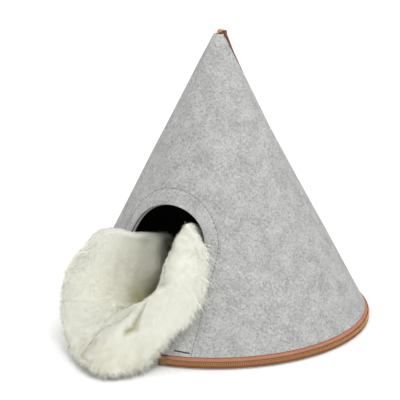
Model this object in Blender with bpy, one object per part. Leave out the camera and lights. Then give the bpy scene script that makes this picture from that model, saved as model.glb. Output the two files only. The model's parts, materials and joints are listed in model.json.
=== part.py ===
"""A felt cat cave: a standing cone of grey felt with an arched doorway, a zipped-on felt floor,
a leather loop at the tip and a thick fleece mat that is pulled half out of the doorway.

Units are metres. The floor's underside lies on z = 0 with the cone's axis on the Z axis, and the
doorway faces -Y. Angles round the cone are measured from -Y, positive towards +X.
"""

import math

import bmesh
import bpy
import numpy as np
from mathutils import Vector

MM = 0.001

# The cone. Its outer face is a true cone up to the flare, where its small mouth opens a little and
# bends towards the seam. The felt thins to its rim.
FOOT_RADIUS = 240 * MM
FOOT_HEIGHT = 4 * MM
POINT_HEIGHT = 458.5 * MM
FELT = 3.5 * MM
WALL_BOTTOM = 5.6 * MM
WALL_TOP = 449 * MM
FLARE_START = 415 * MM
FLARE = 1.2 * MM
BEND = 2.5 * MM
RIM_THINNER = 1.3 * MM
WALL_COLUMNS = 72
SLOPE = FOOT_RADIUS / (POINT_HEIGHT - FOOT_HEIGHT)
LEAN = math.atan(SLOPE)

# The lapped seam up the back of the cone. The photo shows the strap on it as a thin line along the
# cone's right side, so the seam lies a little behind that side.
SEAM_ANGLE = 158.0
LAP_WIDTH = 24 * MM
LAP_RISE = 26 * MM
LAP_STEP = 0.4 * MM
LAP_LOOSENESS = 0.8 * MM

# The arched doorway, and the facing that backs it.
DOOR_HALF_WIDTH = 69 * MM
DOOR_TOP = 211 * MM
DOOR_SPRING = 148 * MM
DOOR_SILL = 45 * MM
DOOR_CORNER = 16 * MM
FACING_HALF_WIDTH = 91 * MM
FACING_TOP = 236 * MM
FACING_BOTTOM = 20.6 * MM
FACING_CORNER = 3 * MM
FACING_FELT = 3.0 * MM
FACING_GAP = 0.6 * MM
FACING_LIP = 0.8 * MM

# The felt floor.
FLOOR_RADIUS = 238.2 * MM
FLOOR_FELT = 5 * MM
FLOOR_COLUMNS = 72

# The zip between the cone and its floor. It starts right of the doorway and runs round the back.
ZIP_START = 11.0
ZIP_END = 308.0
ZIP_TOP = 16.6 * MM
TAPE = 1.0 * MM
ZIP_COLUMNS = 60
TEETH_THICKNESS = 2.0 * MM
ZIP_PATHS = {
    # height and radius of each bend in the band's middle, in millimetres, from the top down
    "zip_tape_upper": (
        (19.6, 226.6),
        (17.4, 227.6),
        (15.6, 229.2),
        (15.2, 233.6),
        (13.8, 236.0),
        (11.6, 237.2),
    ),
    "zip_teeth": ((10.9, 238.0), (9.3, 238.7), (7.7, 239.1)),
    "zip_tape_lower": ((7.1, 239.4), (4.8, 239.6), (2.5, 239.5)),
}
SLIDER_ANGLE = 305.0
SLIDER_SIZE = (9.0 * MM, 3.4 * MM, 9.0 * MM)
SLIDER_HEIGHT = 10.0 * MM
PULL_SIZE = (5.0 * MM, 1.4 * MM, 24.0 * MM)
PULL_HEIGHT = 14.0 * MM
TEETH_FACE = 240.0 * MM
SLIDER_GAP = 0.5 * MM

# The leather loop at the tip: one strap that comes out of the mouth, bows over and runs down the seam.
STRAP_WIDTH = 16 * MM
STRAP = 2.0 * MM
STRAP_GAP = 0.5 * MM
STRAP_FOOT = 385 * MM
STRAP_STEPS = 12
STRAP_BOW = (
    # out from the mouth's middle, up from its rim, width
    (0.0, -7.0, 4.0),
    (0.2, 0.4, 4.0),
    (3.0, 3.2, 10.0),
    (6.6, 5.2, 15.0),
    (10.0, 5.4, 16.0),
    (12.0, 3.6, 16.0),
)

# The fleece mat. Each row is one section across it, from its back edge to its front tip, in
# millimetres: the left rim, the valley, the crest where it rolls over to the right, and the right
# rim. Belly is how square the trough is, from 0 to 1, and roll is the radius of the roll.
FLEECE = 18 * MM
FLEECE_ROWS = (
    # left_rim, valley, crest, right_rim, belly, roll
    ((-60, 160, 14.6), (0, 172, 14.6), (25, 170, 14.6), (60, 160, 14.6), 0, 0),
    ((-146, 92, 16), (0, 108, 14.6), (60, 105, 14.6), (150, 88, 15), 0, 0),
    ((-132, 8, 62), (0, 28, 14.6), (70, 22, 16), (150, 5, 40), 0.2, 0),
    ((-59, -50, 137.2), (0, -50, 14.6), (58, -50, 60), (92, -48, 112), 0.6, 0),
    ((-55, -98, 152.8), (0, -128, 20), (50, -100, 120), (54, -94, 160), 0.75, 0),
    ((-53, -154, 167), (1, -212, 63), (34, -148, 178.2), (46, -136, 189), 0.6, 4),
    ((-96, -180, 170.3), (-6, -224, 67), (50, -172, 182.4), (71, -148, 167.2), 0.65, 12),
    ((-108, -205, 144.5), (-20, -235, 68), (51, -207, 140.9), (87, -169, 117.9), 0.6, 13),
    ((-125, -222, 105.3), (-33, -243, 61), (48, -229, 106.2), (83, -198, 71.1), 0.5, 13),
    ((-128, -236, 69.2), (-47, -250, 49), (26, -246, 92.3), (68, -218, 45.5), 0.4, 13),
    ((-120, -250, 43.4), (-57, -257, 39), (2, -261, 75.7), (52, -259, 12), 0.35, 13),
    ((-103, -266, 20.3), (-64, -266, 28), (-17, -276, 53.9), (43, -299, 9.4), 0.3, 12),
    ((-72, -293, 11), (-72, -282, 16), (-29, -292, 29.2), (19, -324, 9.4), 0.2, 8),
    ((-45, -312, 9.6), (-36, -318, 9.4), (-28, -322, 9.4), (-15, -329, 9.4), 0, 0),
)
FLEECE_ALONG = 42
FLEECE_ACROSS = 44
FLEECE_LUMP = 1.3 * MM
DOOR_CLEARANCE = 2.8 * MM
MIDDLE_RELAX = 4
FACE_RELAX = 5

# Inside its tight bends the pile is pressed: a face is drawn in, step by step, until no step along
# it is shorter than this share of the same step along the middle.
FLEECE_SQUEEZE = 0.35
PRESS_PASSES = 90
PRESS_SHARE = 0.93
PRESS_EASE = 0.3 * MM
PRESS_ROWS = 6
PRESS_COLUMNS = 12

# How far inside and outside the wall's outer face the mat counts as being in the doorway.
DOORWAY_DEPTH = (12 * MM, 3 * MM)

# The wool locks on the part of the mat's rim that hangs out of the doorway.
LOCK_PITCH = 4.6 * MM
LOCK_LENGTH = 6.0 * MM
LOCK_GAP = 0.8 * MM
LOCK_ROOT_DEPTH = 1.6 * MM
LOCK_ROOT_HEIGHT = 4.4 * MM
LOCK_TIP_HEIGHT = 2.0 * MM
LOCK_WALL_CLEARANCE = 2.8 * MM
LOCK_UNEVEN = ((0.3, 2.3), (0.15, 5.1))
LOCK_LEAN = (0.35, 1.7)
LOCK_DROOP = 0.25
LOCKS_BELOW = 158 * MM
LOCKS_IN_FRONT_OF = -150 * MM


def clear_scene():
    for obj in list(bpy.data.objects):
        bpy.data.objects.remove(obj, do_unlink=True)


def finish(name, colour, roughness, metallic=0.0):
    """A plain Principled BSDF material."""
    material = bpy.data.materials.new(name)
    material.use_nodes = True
    shader = material.node_tree.nodes["Principled BSDF"]
    shader.inputs["Base Color"].default_value = (*colour, 1.0)
    shader.inputs["Roughness"].default_value = roughness
    shader.inputs["Metallic"].default_value = metallic
    return material


def face_outward(mesh):
    """Turns every face over when the closed skin encloses a negative volume."""
    shape = bmesh.new()
    shape.from_mesh(mesh)
    if shape.calc_volume(signed=True) < 0:
        bmesh.ops.reverse_faces(shape, faces=shape.faces)
    shape.to_mesh(mesh)
    shape.free()


def solid(name, points, faces, material):
    """One named object from points and faces, smooth but for its sharp edges."""
    mesh = bpy.data.meshes.new(name)
    mesh.from_pydata([tuple(p) for p in points], [], [tuple(f) for f in faces])
    face_outward(mesh)
    mesh.shade_smooth()
    mesh.set_sharp_from_angle(angle=math.radians(40))
    obj = bpy.data.objects.new(name, mesh)
    bpy.context.scene.collection.objects.link(obj)
    if material:
        mesh.materials.append(material)
    return obj


def loft(rings, closed_loft=False):
    """Points and faces of a skin through closed rings, with flat ends unless the loft closes on itself."""
    count = len(rings[0])
    points = [p for ring in rings for p in ring]
    faces = []
    steps = len(rings) if closed_loft else len(rings) - 1
    for i in range(steps):
        here, there = i * count, (i + 1) % len(rings) * count
        for j in range(count):
            k = (j + 1) % count
            faces.append((here + j, here + k, there + k, there + j))
    if not closed_loft:
        faces.append(tuple(range(count - 1, -1, -1)))
        faces.append(tuple(range((len(rings) - 1) * count, len(rings) * count)))
    return points, faces


def cutter(name, points, faces):
    obj = solid(name, points, faces, None)
    obj.hide_render = True
    obj.display_type = "WIRE"
    return obj


def cut(obj, tool):
    modifier = obj.modifiers.new("Cut " + tool.name, "BOOLEAN")
    modifier.operation = "DIFFERENCE"
    modifier.object = tool
    modifier.solver = "EXACT"


def smoothstep(x):
    x = min(max(x, 0.0), 1.0)
    return x * x * (3 - 2 * x)


# ---------------------------------------------------------------- the cone wall


def cone_radius(z):
    """Radius of the cone's outer face at height z."""
    return SLOPE * (POINT_HEIGHT - z)


def seam_direction():
    """The level direction from the axis out through the seam."""
    seam = math.radians(SEAM_ANGLE)
    return Vector((math.sin(seam), -math.cos(seam), 0))


def flared(z):
    """How far the flare has opened at height z, from 0 to 1."""
    return smoothstep((z - FLARE_START) / (WALL_TOP - FLARE_START))


def face_radius(z):
    """Radius of the wall's outer face at height z, flare included."""
    return cone_radius(z) + FLARE * flared(z)


def wall_point(angle, z, outward=0.0):
    """A point at an angle round the cone, that far out from its outer face."""
    radius = face_radius(z) + outward
    bend = seam_direction() * BEND * flared(z)
    return Vector((radius * math.sin(angle), -radius * math.cos(angle), z)) + bend


def wall_columns(z):
    """Angle, outer offset and inner offset of each column round the wall at height z, with the back lap."""
    radius = face_radius(z)
    half_lap = min(LAP_WIDTH / 2 / radius, 0.75)
    rise = min(LAP_RISE / radius, 0.9)
    step = min(LAP_STEP / radius, 0.04)
    felt = FELT / math.cos(LEAN) - RIM_THINNER * flared(z)
    start = math.radians(SEAM_ANGLE) + half_lap
    end = start - 2 * half_lap - rise + 2 * math.pi
    columns = []
    for i in range(WALL_COLUMNS):
        columns.append((start + step + (end - start - step) * i / (WALL_COLUMNS - 1), 0.0, -felt))
    lap = felt + LAP_LOOSENESS
    for share in (0.35, 0.7, 1.0):
        lift = smoothstep(share) * lap
        columns.append((end + (rise - step) * share, lift, lift - felt))
    columns.append((end + rise, lap, -felt))
    columns.append((end + rise + half_lap, lap, -felt))
    columns.append((end + rise + 2 * half_lap, lap, -felt))
    return columns


def build_wall(felt):
    low = np.linspace(WALL_BOTTOM, FLARE_START, 6)
    high = np.linspace(FLARE_START, WALL_TOP, 7)
    heights = [*low, *high[1:]]
    outer, inner = [], []
    for z in heights:
        columns = wall_columns(z)
        outer.append([wall_point(a, z, o) for a, o, _ in columns])
        inner.append([wall_point(a, z, i) for a, _, i in columns])
    rings = outer + inner[::-1]
    wall = solid("cone_wall", *loft(rings, closed_loft=True), felt)
    door = arch(DOOR_HALF_WIDTH, DOOR_TOP, DOOR_SPRING, DOOR_SILL, DOOR_CORNER)
    prism = [[Vector((x, y, z)) for x, z in door] for y in (-0.300, -0.050)]
    cut(wall, cutter("door_cutter", *loft(prism)))
    cut(wall, zip_recess())
    return wall


def zip_recess():
    """A ring sector that clears the wall's hem where the zip runs."""
    rings = []
    for i in range(ZIP_COLUMNS + 1):
        angle = math.radians(ZIP_START - 0.3 + (ZIP_END - ZIP_START + 0.6) * i / ZIP_COLUMNS)
        ring = []
        for radius, z in ((0.20, -0.01), (0.26, -0.01), (0.26, ZIP_TOP), (0.20, ZIP_TOP)):
            ring.append(Vector((radius * math.sin(angle), -radius * math.cos(angle), z)))
        rings.append(ring)
    return cutter("zip_cutter", *loft(rings))


# ---------------------------------------------------------------- the doorway


def arch(half_width, top, spring, sill, corner):
    """The arch's outline as (x, z) points, anticlockwise from the right of the sill, seen from the front."""
    points = []
    for i in range(5):
        turn = -math.pi / 2 + math.pi / 2 * i / 4
        x = half_width - corner + corner * math.cos(turn)
        points.append((x, sill + corner + corner * math.sin(turn)))
    for i in range(1, 4):
        points.append((half_width, sill + corner + (spring - sill - corner) * i / 4))
    for i in range(25):
        turn = math.pi * i / 24
        points.append((half_width * math.cos(turn), spring + (top - spring) * math.sin(turn)))
    for i in range(1, 4):
        points.append((-half_width, spring - (spring - sill - corner) * i / 4))
    for i in range(5):
        turn = math.pi + math.pi / 2 * i / 4
        x = -half_width + corner + corner * math.cos(turn)
        points.append((x, sill + corner + corner * math.sin(turn)))
    for i in range(1, 6):
        points.append((-half_width + corner + 2 * (half_width - corner) * i / 6, sill))
    return points


def build_facing(felt):
    """The second ply behind the doorway: a band between two arches that follows the wall's inner face."""
    half_width, top, sill = DOOR_HALF_WIDTH - FACING_LIP, DOOR_TOP - FACING_LIP, DOOR_SILL + FACING_LIP
    inner = arch(half_width, top, DOOR_SPRING, sill, DOOR_CORNER)
    outer = arch(FACING_HALF_WIDTH, FACING_TOP, DOOR_SPRING, FACING_BOTTOM, FACING_CORNER)
    front = FELT / math.cos(LEAN) + FACING_GAP
    back = front + FACING_FELT / math.cos(LEAN)

    def band(share, depth):
        ring = []
        for (xi, zi), (xo, zo) in zip(inner, outer):
            x, z = xi + (xo - xi) * share, zi + (zo - zi) * share
            radius = cone_radius(z) - depth
            ring.append(Vector((x, -math.sqrt(radius * radius - x * x), z)))
        return ring

    shares = (0.0, 1 / 3, 2 / 3, 1.0)
    rings = [band(s, front) for s in shares] + [band(s, back) for s in reversed(shares)]
    return solid("door_facing", *loft(rings, closed_loft=True), felt)


# ---------------------------------------------------------------- the floor and the zip


def build_floor(felt):
    edge = 1.2 * MM
    profile = (
        (FLOOR_RADIUS - edge, 0.0),
        (FLOOR_RADIUS, edge),
        (FLOOR_RADIUS, FLOOR_FELT - edge),
        (FLOOR_RADIUS - edge, FLOOR_FELT),
    )
    rings = []
    for radius, z in profile:
        ring = []
        for i in range(FLOOR_COLUMNS):
            angle = 2 * math.pi * i / FLOOR_COLUMNS
            ring.append(Vector((radius * math.cos(angle), radius * math.sin(angle), z)))
        rings.append(ring)
    return solid("floor_disc", *loft(rings), felt)


def build_zip_band(name, thickness, material):
    """One of the zip's bands, swept round the foot of the cone."""
    path = [Vector((r * MM, z * MM)) for z, r in ZIP_PATHS[name]]
    sides = []
    for i, p in enumerate(path):
        along = (path[min(i + 1, len(path) - 1)] - path[max(i - 1, 0)]).normalized()
        sides.append(Vector((-along.y, along.x)) * thickness / 2)
    profile = [p + s for p, s in zip(path, sides)] + [p - s for p, s in zip(path, sides)][::-1]
    rings = []
    for i in range(ZIP_COLUMNS + 1):
        angle = math.radians(ZIP_START + (ZIP_END - ZIP_START) * i / ZIP_COLUMNS)
        rings.append([Vector((p.x * math.sin(angle), -p.x * math.cos(angle), p.y)) for p in profile])
    return solid(name, *loft(rings), material)


def block(name, size, material, bevel):
    """A bevelled block centred on its own origin."""
    x, y, z = (s / 2 for s in size)
    points = [Vector((a, b, c)) for c in (-z, z) for a, b in ((-x, -y), (x, -y), (x, y), (-x, y))]
    faces = [(3, 2, 1, 0), (4, 5, 6, 7), (0, 1, 5, 4), (1, 2, 6, 5), (2, 3, 7, 6), (3, 0, 4, 7)]
    obj = solid(name, points, faces, material)
    modifier = obj.modifiers.new("Soft edges", "BEVEL")
    modifier.width = bevel
    modifier.segments = 2
    return obj


def build_slider(metal):
    """The slider's body on the teeth, and its pull hanging in front of it."""
    angle = math.radians(SLIDER_ANGLE)
    inner = TEETH_FACE + SLIDER_GAP
    body = block("zip_slider", SLIDER_SIZE, metal, 0.9 * MM)
    pull = block("zip_pull", PULL_SIZE, metal, 0.5 * MM)
    for obj, radius, height in (
        (body, inner + SLIDER_SIZE[1] / 2, SLIDER_HEIGHT),
        (pull, inner + SLIDER_SIZE[1] + SLIDER_GAP + PULL_SIZE[1] / 2, PULL_HEIGHT),
    ):
        obj.location = (radius * math.sin(angle), -radius * math.cos(angle), height)
        obj.rotation_euler = (0, 0, angle)


# ---------------------------------------------------------------- the leather loop


def build_loop(leather):
    """A strap swept in the seam's plane: out of the mouth, over in a bow, and down the lap."""
    path = [(Vector((BEND + out * MM, WALL_TOP + up * MM)), width * MM) for out, up, width in STRAP_BOW]
    felt = FELT / math.cos(LEAN)
    for i in range(STRAP_STEPS + 1):
        z = WALL_TOP + (STRAP_FOOT - WALL_TOP) * i / STRAP_STEPS
        over_lap = felt - RIM_THINNER * flared(z) + LAP_LOOSENESS + STRAP_GAP + STRAP / 2
        path.append((Vector((face_radius(z) + over_lap + BEND * flared(z), z)), STRAP_WIDTH))
    outward = seam_direction()
    sideways = Vector((-outward.y, outward.x, 0))
    rings = []
    for i, (p, width) in enumerate(path):
        along = (path[min(i + 1, len(path) - 1)][0] - path[max(i - 1, 0)][0]).normalized()
        across = Vector((-along.y, along.x)) * STRAP / 2
        half = width / 2
        ring = []
        for side, q in ((-half, p + across), (half, p + across), (half, p - across), (-half, p - across)):
            ring.append(outward * q.x + sideways * side + Vector((0, 0, q.y)))
        rings.append(ring)
    return solid("tip_loop", *loft(rings), leather)


# ---------------------------------------------------------------- the fleece mat


def curve(guides, places):
    """Points of a smooth curve through its guides, at places given in guide numbers, such as 2.5."""
    pts = [np.array(g, float) for g in guides]
    pts = [2 * pts[0] - pts[1]] + pts + [2 * pts[-1] - pts[-2]]
    found = []
    for place in places:
        i = min(int(place), len(guides) - 2)
        a, b, c, d = pts[i : i + 4]
        t1 = max(np.linalg.norm(b - a), 1e-6) ** 0.5
        t2 = t1 + max(np.linalg.norm(c - b), 1e-6) ** 0.5
        t3 = t2 + max(np.linalg.norm(d - c), 1e-6) ** 0.5
        t = t1 + (place - i) * (t2 - t1)
        ab = a + (b - a) * t / t1
        bc = b + (c - b) * (t - t1) / (t2 - t1)
        cd = c + (d - c) * (t - t2) / (t3 - t2)
        abc = ab + (bc - ab) * t / t2
        bcd = bc + (cd - bc) * (t - t1) / (t3 - t1)
        found.append(abc + (bcd - abc) * (t - t1) / (t2 - t1))
    return np.array(found)


def running_length(points):
    """The length from the first point to each point along their line."""
    return np.concatenate([[0], np.cumsum(np.linalg.norm(np.diff(points, axis=0), axis=1))])


def sampled(points, lengths, where):
    """Points of a line at given lengths along it."""
    return np.stack([np.interp(where, lengths, points[:, k]) for k in range(3)], axis=1)


def even_curve(guides, shares):
    """Points of the same curve at shares of its length."""
    fine = curve(guides, np.linspace(0, len(guides) - 1, 12 * (len(guides) - 1) + 1))
    lengths = running_length(fine)
    return sampled(fine, lengths, np.array(shares) * lengths[-1])


def edged(count):
    """Shares from 0 to 1 with extra steps close to both ends, for the mat's rounded edge."""
    middle = list(np.linspace(0.05, 0.95, count - 4))
    return np.array([0.0, 0.008, 0.024] + middle + [0.976, 0.992, 1.0])


def between(a, b, sideways, up):
    """A point from a towards b, by one share sideways and another in height and depth."""
    return a + (b - a) * np.array([sideways, up, up])


def section(left, valley, crest, right, belly, roll, heading):
    """The guide points across the mat for one row: up from the valley both ways, and over the roll.

    The roll is an arc square to its heading, so that it keeps its radius where the crest slopes.
    """
    across = np.array([-heading[1], heading[0], 0])
    across /= np.linalg.norm(across)
    top = np.cross(across, heading)
    top /= np.linalg.norm(top)
    across, top = across * np.sign(across @ (right - crest)), top * np.sign(top[2])
    rolled = min(roll / 12, 1.0)
    cap = []
    for degrees, share in ((-75, 0.24), (-38, 0.12), (0, 0.0), (38, 0.12), (75, 0.24)):
        turn = math.radians(degrees)
        plain = between(crest, valley if degrees < 0 else right, share, share)
        rounded = crest + across * roll * math.sin(turn) - top * roll * (1 - math.cos(turn))
        cap.append(plain * (1 - rolled) + rounded * rolled)
    flat, up = 0.5 + 0.5 * belly, 0.5 - 0.5 * belly
    left_slope = between(valley, left, flat, up)
    right_slope = between(valley, cap[0], flat, up)
    return [left, left_slope, valley, right_slope, *cap, (cap[-1] + right) / 2, right]


def fleece_middle():
    """The mat's middle surface, as an array of along by across points."""
    rails = [np.array([row[k] for row in FLEECE_ROWS], float) for k in range(4)]
    steps = sum(np.linalg.norm(np.diff(rail, axis=0), axis=1) for rail in rails)
    lengths = np.concatenate([[0], np.cumsum(steps)])
    numbers = np.arange(len(FLEECE_ROWS))
    places = np.interp(edged(FLEECE_ALONG) * lengths[-1], lengths, numbers)
    rails = [curve(rail, places) for rail in rails]
    bellies = np.interp(places, numbers, [row[4] for row in FLEECE_ROWS])
    rolls = np.interp(places, numbers, [row[5] for row in FLEECE_ROWS])
    across = edged(FLEECE_ACROSS)
    headings = np.gradient(rails[2], axis=0)
    rows = zip(*rails, bellies, rolls, headings)
    return relaxed(np.array([even_curve(section(*row), across) for row in rows]) * MM, MIDDLE_RELAX)


def blurred(grid):
    """Each value averaged with its neighbours. The grid may hold numbers or vectors."""
    padded = np.pad(grid, ((1, 1), (1, 1)) + ((0, 0),) * (grid.ndim - 2), mode="edge")
    around = padded[2:, 1:-1] + padded[:-2, 1:-1] + padded[1:-1, 2:] + padded[1:-1, :-2]
    return (around + 2 * grid) / 6


def relaxed(surface, passes):
    """The surface with its tight bends eased, and its edge as it was."""
    surface = surface.copy()
    for _ in range(passes):
        surface[3:-3, 3:-3] = blurred(surface)[3:-3, 3:-3]
    return surface


def fleece_normals(surface):
    normal = np.cross(np.gradient(surface, axis=0), np.gradient(surface, axis=1))
    normal /= np.maximum(np.linalg.norm(normal, axis=2, keepdims=True), 1e-9)
    for _ in range(2):
        normal = blurred(normal)
        normal /= np.linalg.norm(normal, axis=2, keepdims=True)
    return normal


def rim_distance(surface):
    """How far each point is from the nearest edge, along the mat."""
    step_a = np.linalg.norm(np.diff(surface, axis=0), axis=2)
    step_b = np.linalg.norm(np.diff(surface, axis=1), axis=2)
    from_back = np.concatenate([np.zeros((1, surface.shape[1])), np.cumsum(step_a, axis=0)])
    from_left = np.concatenate([np.zeros((surface.shape[0], 1)), np.cumsum(step_b, axis=1)], axis=1)
    to_front = from_back[-1:] - from_back
    to_right = from_left[:, -1:] - from_left
    return np.minimum(np.minimum(from_back, to_front), np.minimum(from_left, to_right))


def neighbour_slices(shape, rows, columns):
    """Index pairs that line up each grid point with the one that many rows and columns on."""
    height, width = shape[:2]
    near = slice(max(-columns, 0), width - max(columns, 0))
    far = slice(max(columns, 0), width + min(columns, 0))
    return (slice(0, height - rows), near), (slice(rows, height), far)


def pressed_face(middle, normal, reach):
    """One face of the mat, that far from its middle, and pressed thinner inside its tight bends."""
    for _ in range(PRESS_PASSES):
        crowded = np.zeros(reach.shape, bool)
        face = middle + normal * reach[..., None]
        for rows in range(PRESS_ROWS):
            for columns in range(-PRESS_COLUMNS if rows else 1, PRESS_COLUMNS + 1):
                here, there = neighbour_slices(reach.shape, rows, columns)
                step = middle[there] - middle[here]
                left_over = (step * (face[there] - face[here])).sum(axis=2) / (step * step).sum(axis=2)
                tight = left_over < FLEECE_SQUEEZE
                crowded[here] |= tight
                crowded[there] |= tight
        if not crowded.any():
            break
        pressed = np.where(crowded, PRESS_SHARE * reach, reach)
        reach = np.minimum(pressed, blurred(pressed) + PRESS_EASE)
    return relaxed(middle + normal * reach[..., None], FACE_RELAX)


def kept_off_door(face):
    """The face with its points in the doorway drawn in from the jambs."""
    x, y, z = np.moveaxis(face, 2, 0)
    outward = (np.hypot(x, y) - SLOPE * (POINT_HEIGHT - z)) * math.cos(LEAN)
    in_doorway = (outward > -DOORWAY_DEPTH[0]) & (outward < DOORWAY_DEPTH[1]) & (y < 0)
    rise = np.clip((z - DOOR_SPRING) / (DOOR_TOP - DOOR_SPRING), 0, 1)
    limit = DOOR_HALF_WIDTH * np.sqrt(1 - rise * rise) - DOOR_CLEARANCE
    face[..., 0] = np.where(in_doorway, np.clip(x, -limit, limit), x)
    return face


def build_fleece(wool):
    middle = fleece_middle()
    normal = fleece_normals(middle)
    half = FLEECE / 2
    depth = np.clip(rim_distance(middle) / half, 0, 1)
    x, y, z = np.moveaxis(middle, 2, 0)
    lumps = FLEECE_LUMP * np.sin(x * 95 + y * 37) * np.sin(y * 81 - z * 60 + 1.3)
    reach = half * np.sqrt(1 - (1 - depth) ** 2) + lumps * depth
    top, under = pressed_face(middle, normal, reach), pressed_face(middle, -normal, reach)
    for side in (top, under):
        kept_off_door(side)
        inside = np.hypot(side[..., 0], side[..., 1]) < FLOOR_RADIUS
        rest = np.where(inside, FLOOR_FELT + 0.3 * MM, 0.0)
        side[..., 2] = np.maximum(side[..., 2], rest)
    rows, columns = middle.shape[:2]
    points = [Vector(p) for p in top.reshape(-1, 3)]
    lower = {}
    for i in range(rows):
        for j in range(columns):
            on_edge = i in (0, rows - 1) or j in (0, columns - 1)
            if on_edge:
                lower[i, j] = i * columns + j
            else:
                lower[i, j] = len(points)
                points.append(Vector(under[i, j]))
    faces = []
    for i in range(rows - 1):
        for j in range(columns - 1):
            corners = ((i, j), (i, j + 1), (i + 1, j + 1), (i + 1, j))
            faces.append(tuple(lower[k] for k in corners))
            faces.append(tuple(a * columns + b for a, b in reversed(corners)))
    solid("fleece_mat", points, faces, wool)
    hangs_out = (middle[:, :, 2] < LOCKS_BELOW) & (middle[:, :, 1] < LOCKS_IN_FRONT_OF)
    right = hangs_out[:, -1]
    left = hangs_out[:, 0]
    build_locks("fleece_locks_right", rim_path(middle[right, -1][:-1], middle[right, -4][:-1]), wool)
    build_locks("fleece_locks_left", rim_path(middle[left, 0][-2::-1], middle[left, 3][-2::-1]), wool)
    build_locks("fleece_locks_front", rim_path(middle[-1, 2:-2][::-1], middle[-4, 2:-2][::-1]), wool)


# ---------------------------------------------------------------- the wool locks


def rim_path(rim, inner):
    """Even steps along a stretch of the mat's rim: places, the way along, and the way off the mat."""
    lengths = running_length(rim)
    where = np.linspace(0, lengths[-1], int(lengths[-1] / LOCK_PITCH) + 1)
    rim, inner = sampled(rim, lengths, where), sampled(inner, lengths, where)
    along = np.gradient(rim, axis=0)
    along /= np.linalg.norm(along, axis=1, keepdims=True)
    off = rim - inner
    off -= along * (off * along).sum(axis=1, keepdims=True)
    off /= np.linalg.norm(off, axis=1, keepdims=True)
    return rim, along, off


def kept_off_wall(point):
    """The point, moved out where it would come too near to the cone."""
    radius = math.hypot(point[0], point[1])
    least = SLOPE * (POINT_HEIGHT - point[2]) + LOCK_WALL_CLEARANCE / math.cos(LEAN)
    return point * np.array([max(least / radius, 1), max(least / radius, 1), 1])


def build_locks(name, path, wool):
    """A narrow strip parted from the mat's rim, with a four-sided lock of wool on each step of it."""
    rings = []
    tips = []
    for i, (rim, along, off) in enumerate(zip(*path)):
        up = np.cross(along, off) * LOCK_ROOT_HEIGHT / 2
        outer = rim + off * (LOCK_GAP + LOCK_ROOT_DEPTH)
        rings.append([kept_off_wall(p) for p in (rim + off * LOCK_GAP, outer + up, outer - up)])
        reach = LOCK_LENGTH * (1 + sum(share * math.sin(turn * i) for share, turn in LOCK_UNEVEN))
        lean = LOCK_LEAN[0] * LOCK_PITCH * math.sin(LOCK_LEAN[1] * i)
        tips.append(outer + off * reach + along * lean - np.array([0, 0, LOCK_DROOP * reach]))
    points, faces = loft(rings)
    outer_faces = [(3 * i + 1, 3 * i + 2, 3 * i + 5, 3 * i + 4) for i in range(len(rings) - 1)]
    faces = [f for f in faces if f not in outer_faces]
    for i, face in enumerate(outer_faces):
        tip = (tips[i] + tips[i + 1]) / 2
        tip[2] = max(tip[2], LOCK_TIP_HEIGHT)
        tip = kept_off_wall(tip)
        faces += [(face[k], face[(k + 1) % 4], len(points)) for k in range(4)]
        points.append(tip)
    return solid(name, [Vector(p) for p in points], faces, wool)


def main():
    clear_scene()
    felt = finish("Grey felt", (0.52, 0.52, 0.51), 0.95)
    tape = finish("Tan zip tape", (0.50, 0.20, 0.09), 0.8)
    teeth = finish("Tan zip teeth", (0.42, 0.19, 0.07), 0.45)
    metal = finish("Brass", (0.62, 0.45, 0.22), 0.35, 1.0)
    leather = finish("Tan leather", (0.48, 0.20, 0.08), 0.5)
    wool = finish("Cream fleece", (0.83, 0.82, 0.75), 1.0)
    build_wall(felt)
    build_facing(felt)
    build_floor(felt)
    build_zip_band("zip_tape_upper", TAPE, tape)
    build_zip_band("zip_teeth", TEETH_THICKNESS, teeth)
    build_zip_band("zip_tape_lower", TAPE, tape)
    build_slider(metal)
    build_loop(leather)
    build_fleece(wool)


main()
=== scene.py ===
# %% [markdown]
# # A felt cat cave
# The real thing is a cone of stiff grey felt with an arched doorway. A zip joins it to a round felt
# floor, a leather strap sits at its tip, and a thick cream fleece mat spills out of the doorway.
# The solid model gives every size and place. Here each soft piece is made again the way a maker
# would: felt is cut flat and rolled up, thread is stitched along a line, and wool grows on the mat.

# %% The frame and the tools
import json
import math

import bmesh
import bpy
import numpy as np
from mathutils import Matrix, Vector, geometry
from mathutils.kdtree import KDTree

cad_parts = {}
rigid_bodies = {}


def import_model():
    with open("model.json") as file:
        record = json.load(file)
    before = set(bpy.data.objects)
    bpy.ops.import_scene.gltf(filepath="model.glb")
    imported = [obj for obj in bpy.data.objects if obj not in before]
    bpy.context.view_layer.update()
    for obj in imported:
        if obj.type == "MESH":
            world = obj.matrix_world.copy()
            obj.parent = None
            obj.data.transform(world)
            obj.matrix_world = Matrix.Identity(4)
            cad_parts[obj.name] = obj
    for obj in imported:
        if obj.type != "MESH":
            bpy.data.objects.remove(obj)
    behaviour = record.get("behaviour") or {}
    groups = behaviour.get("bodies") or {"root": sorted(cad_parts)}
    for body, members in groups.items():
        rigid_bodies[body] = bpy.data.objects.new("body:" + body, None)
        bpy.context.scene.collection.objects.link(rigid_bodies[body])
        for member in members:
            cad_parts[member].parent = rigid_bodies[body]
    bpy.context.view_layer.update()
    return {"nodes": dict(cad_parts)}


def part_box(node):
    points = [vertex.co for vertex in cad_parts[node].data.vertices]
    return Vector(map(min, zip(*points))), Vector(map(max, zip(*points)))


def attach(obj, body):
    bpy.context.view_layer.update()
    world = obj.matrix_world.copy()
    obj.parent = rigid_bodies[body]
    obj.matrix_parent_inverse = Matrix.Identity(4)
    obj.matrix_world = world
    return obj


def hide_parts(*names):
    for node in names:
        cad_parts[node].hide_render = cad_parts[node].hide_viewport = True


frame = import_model()
MM = 0.001
print("solid nodes:", ", ".join(sorted(frame["nodes"])))

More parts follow.
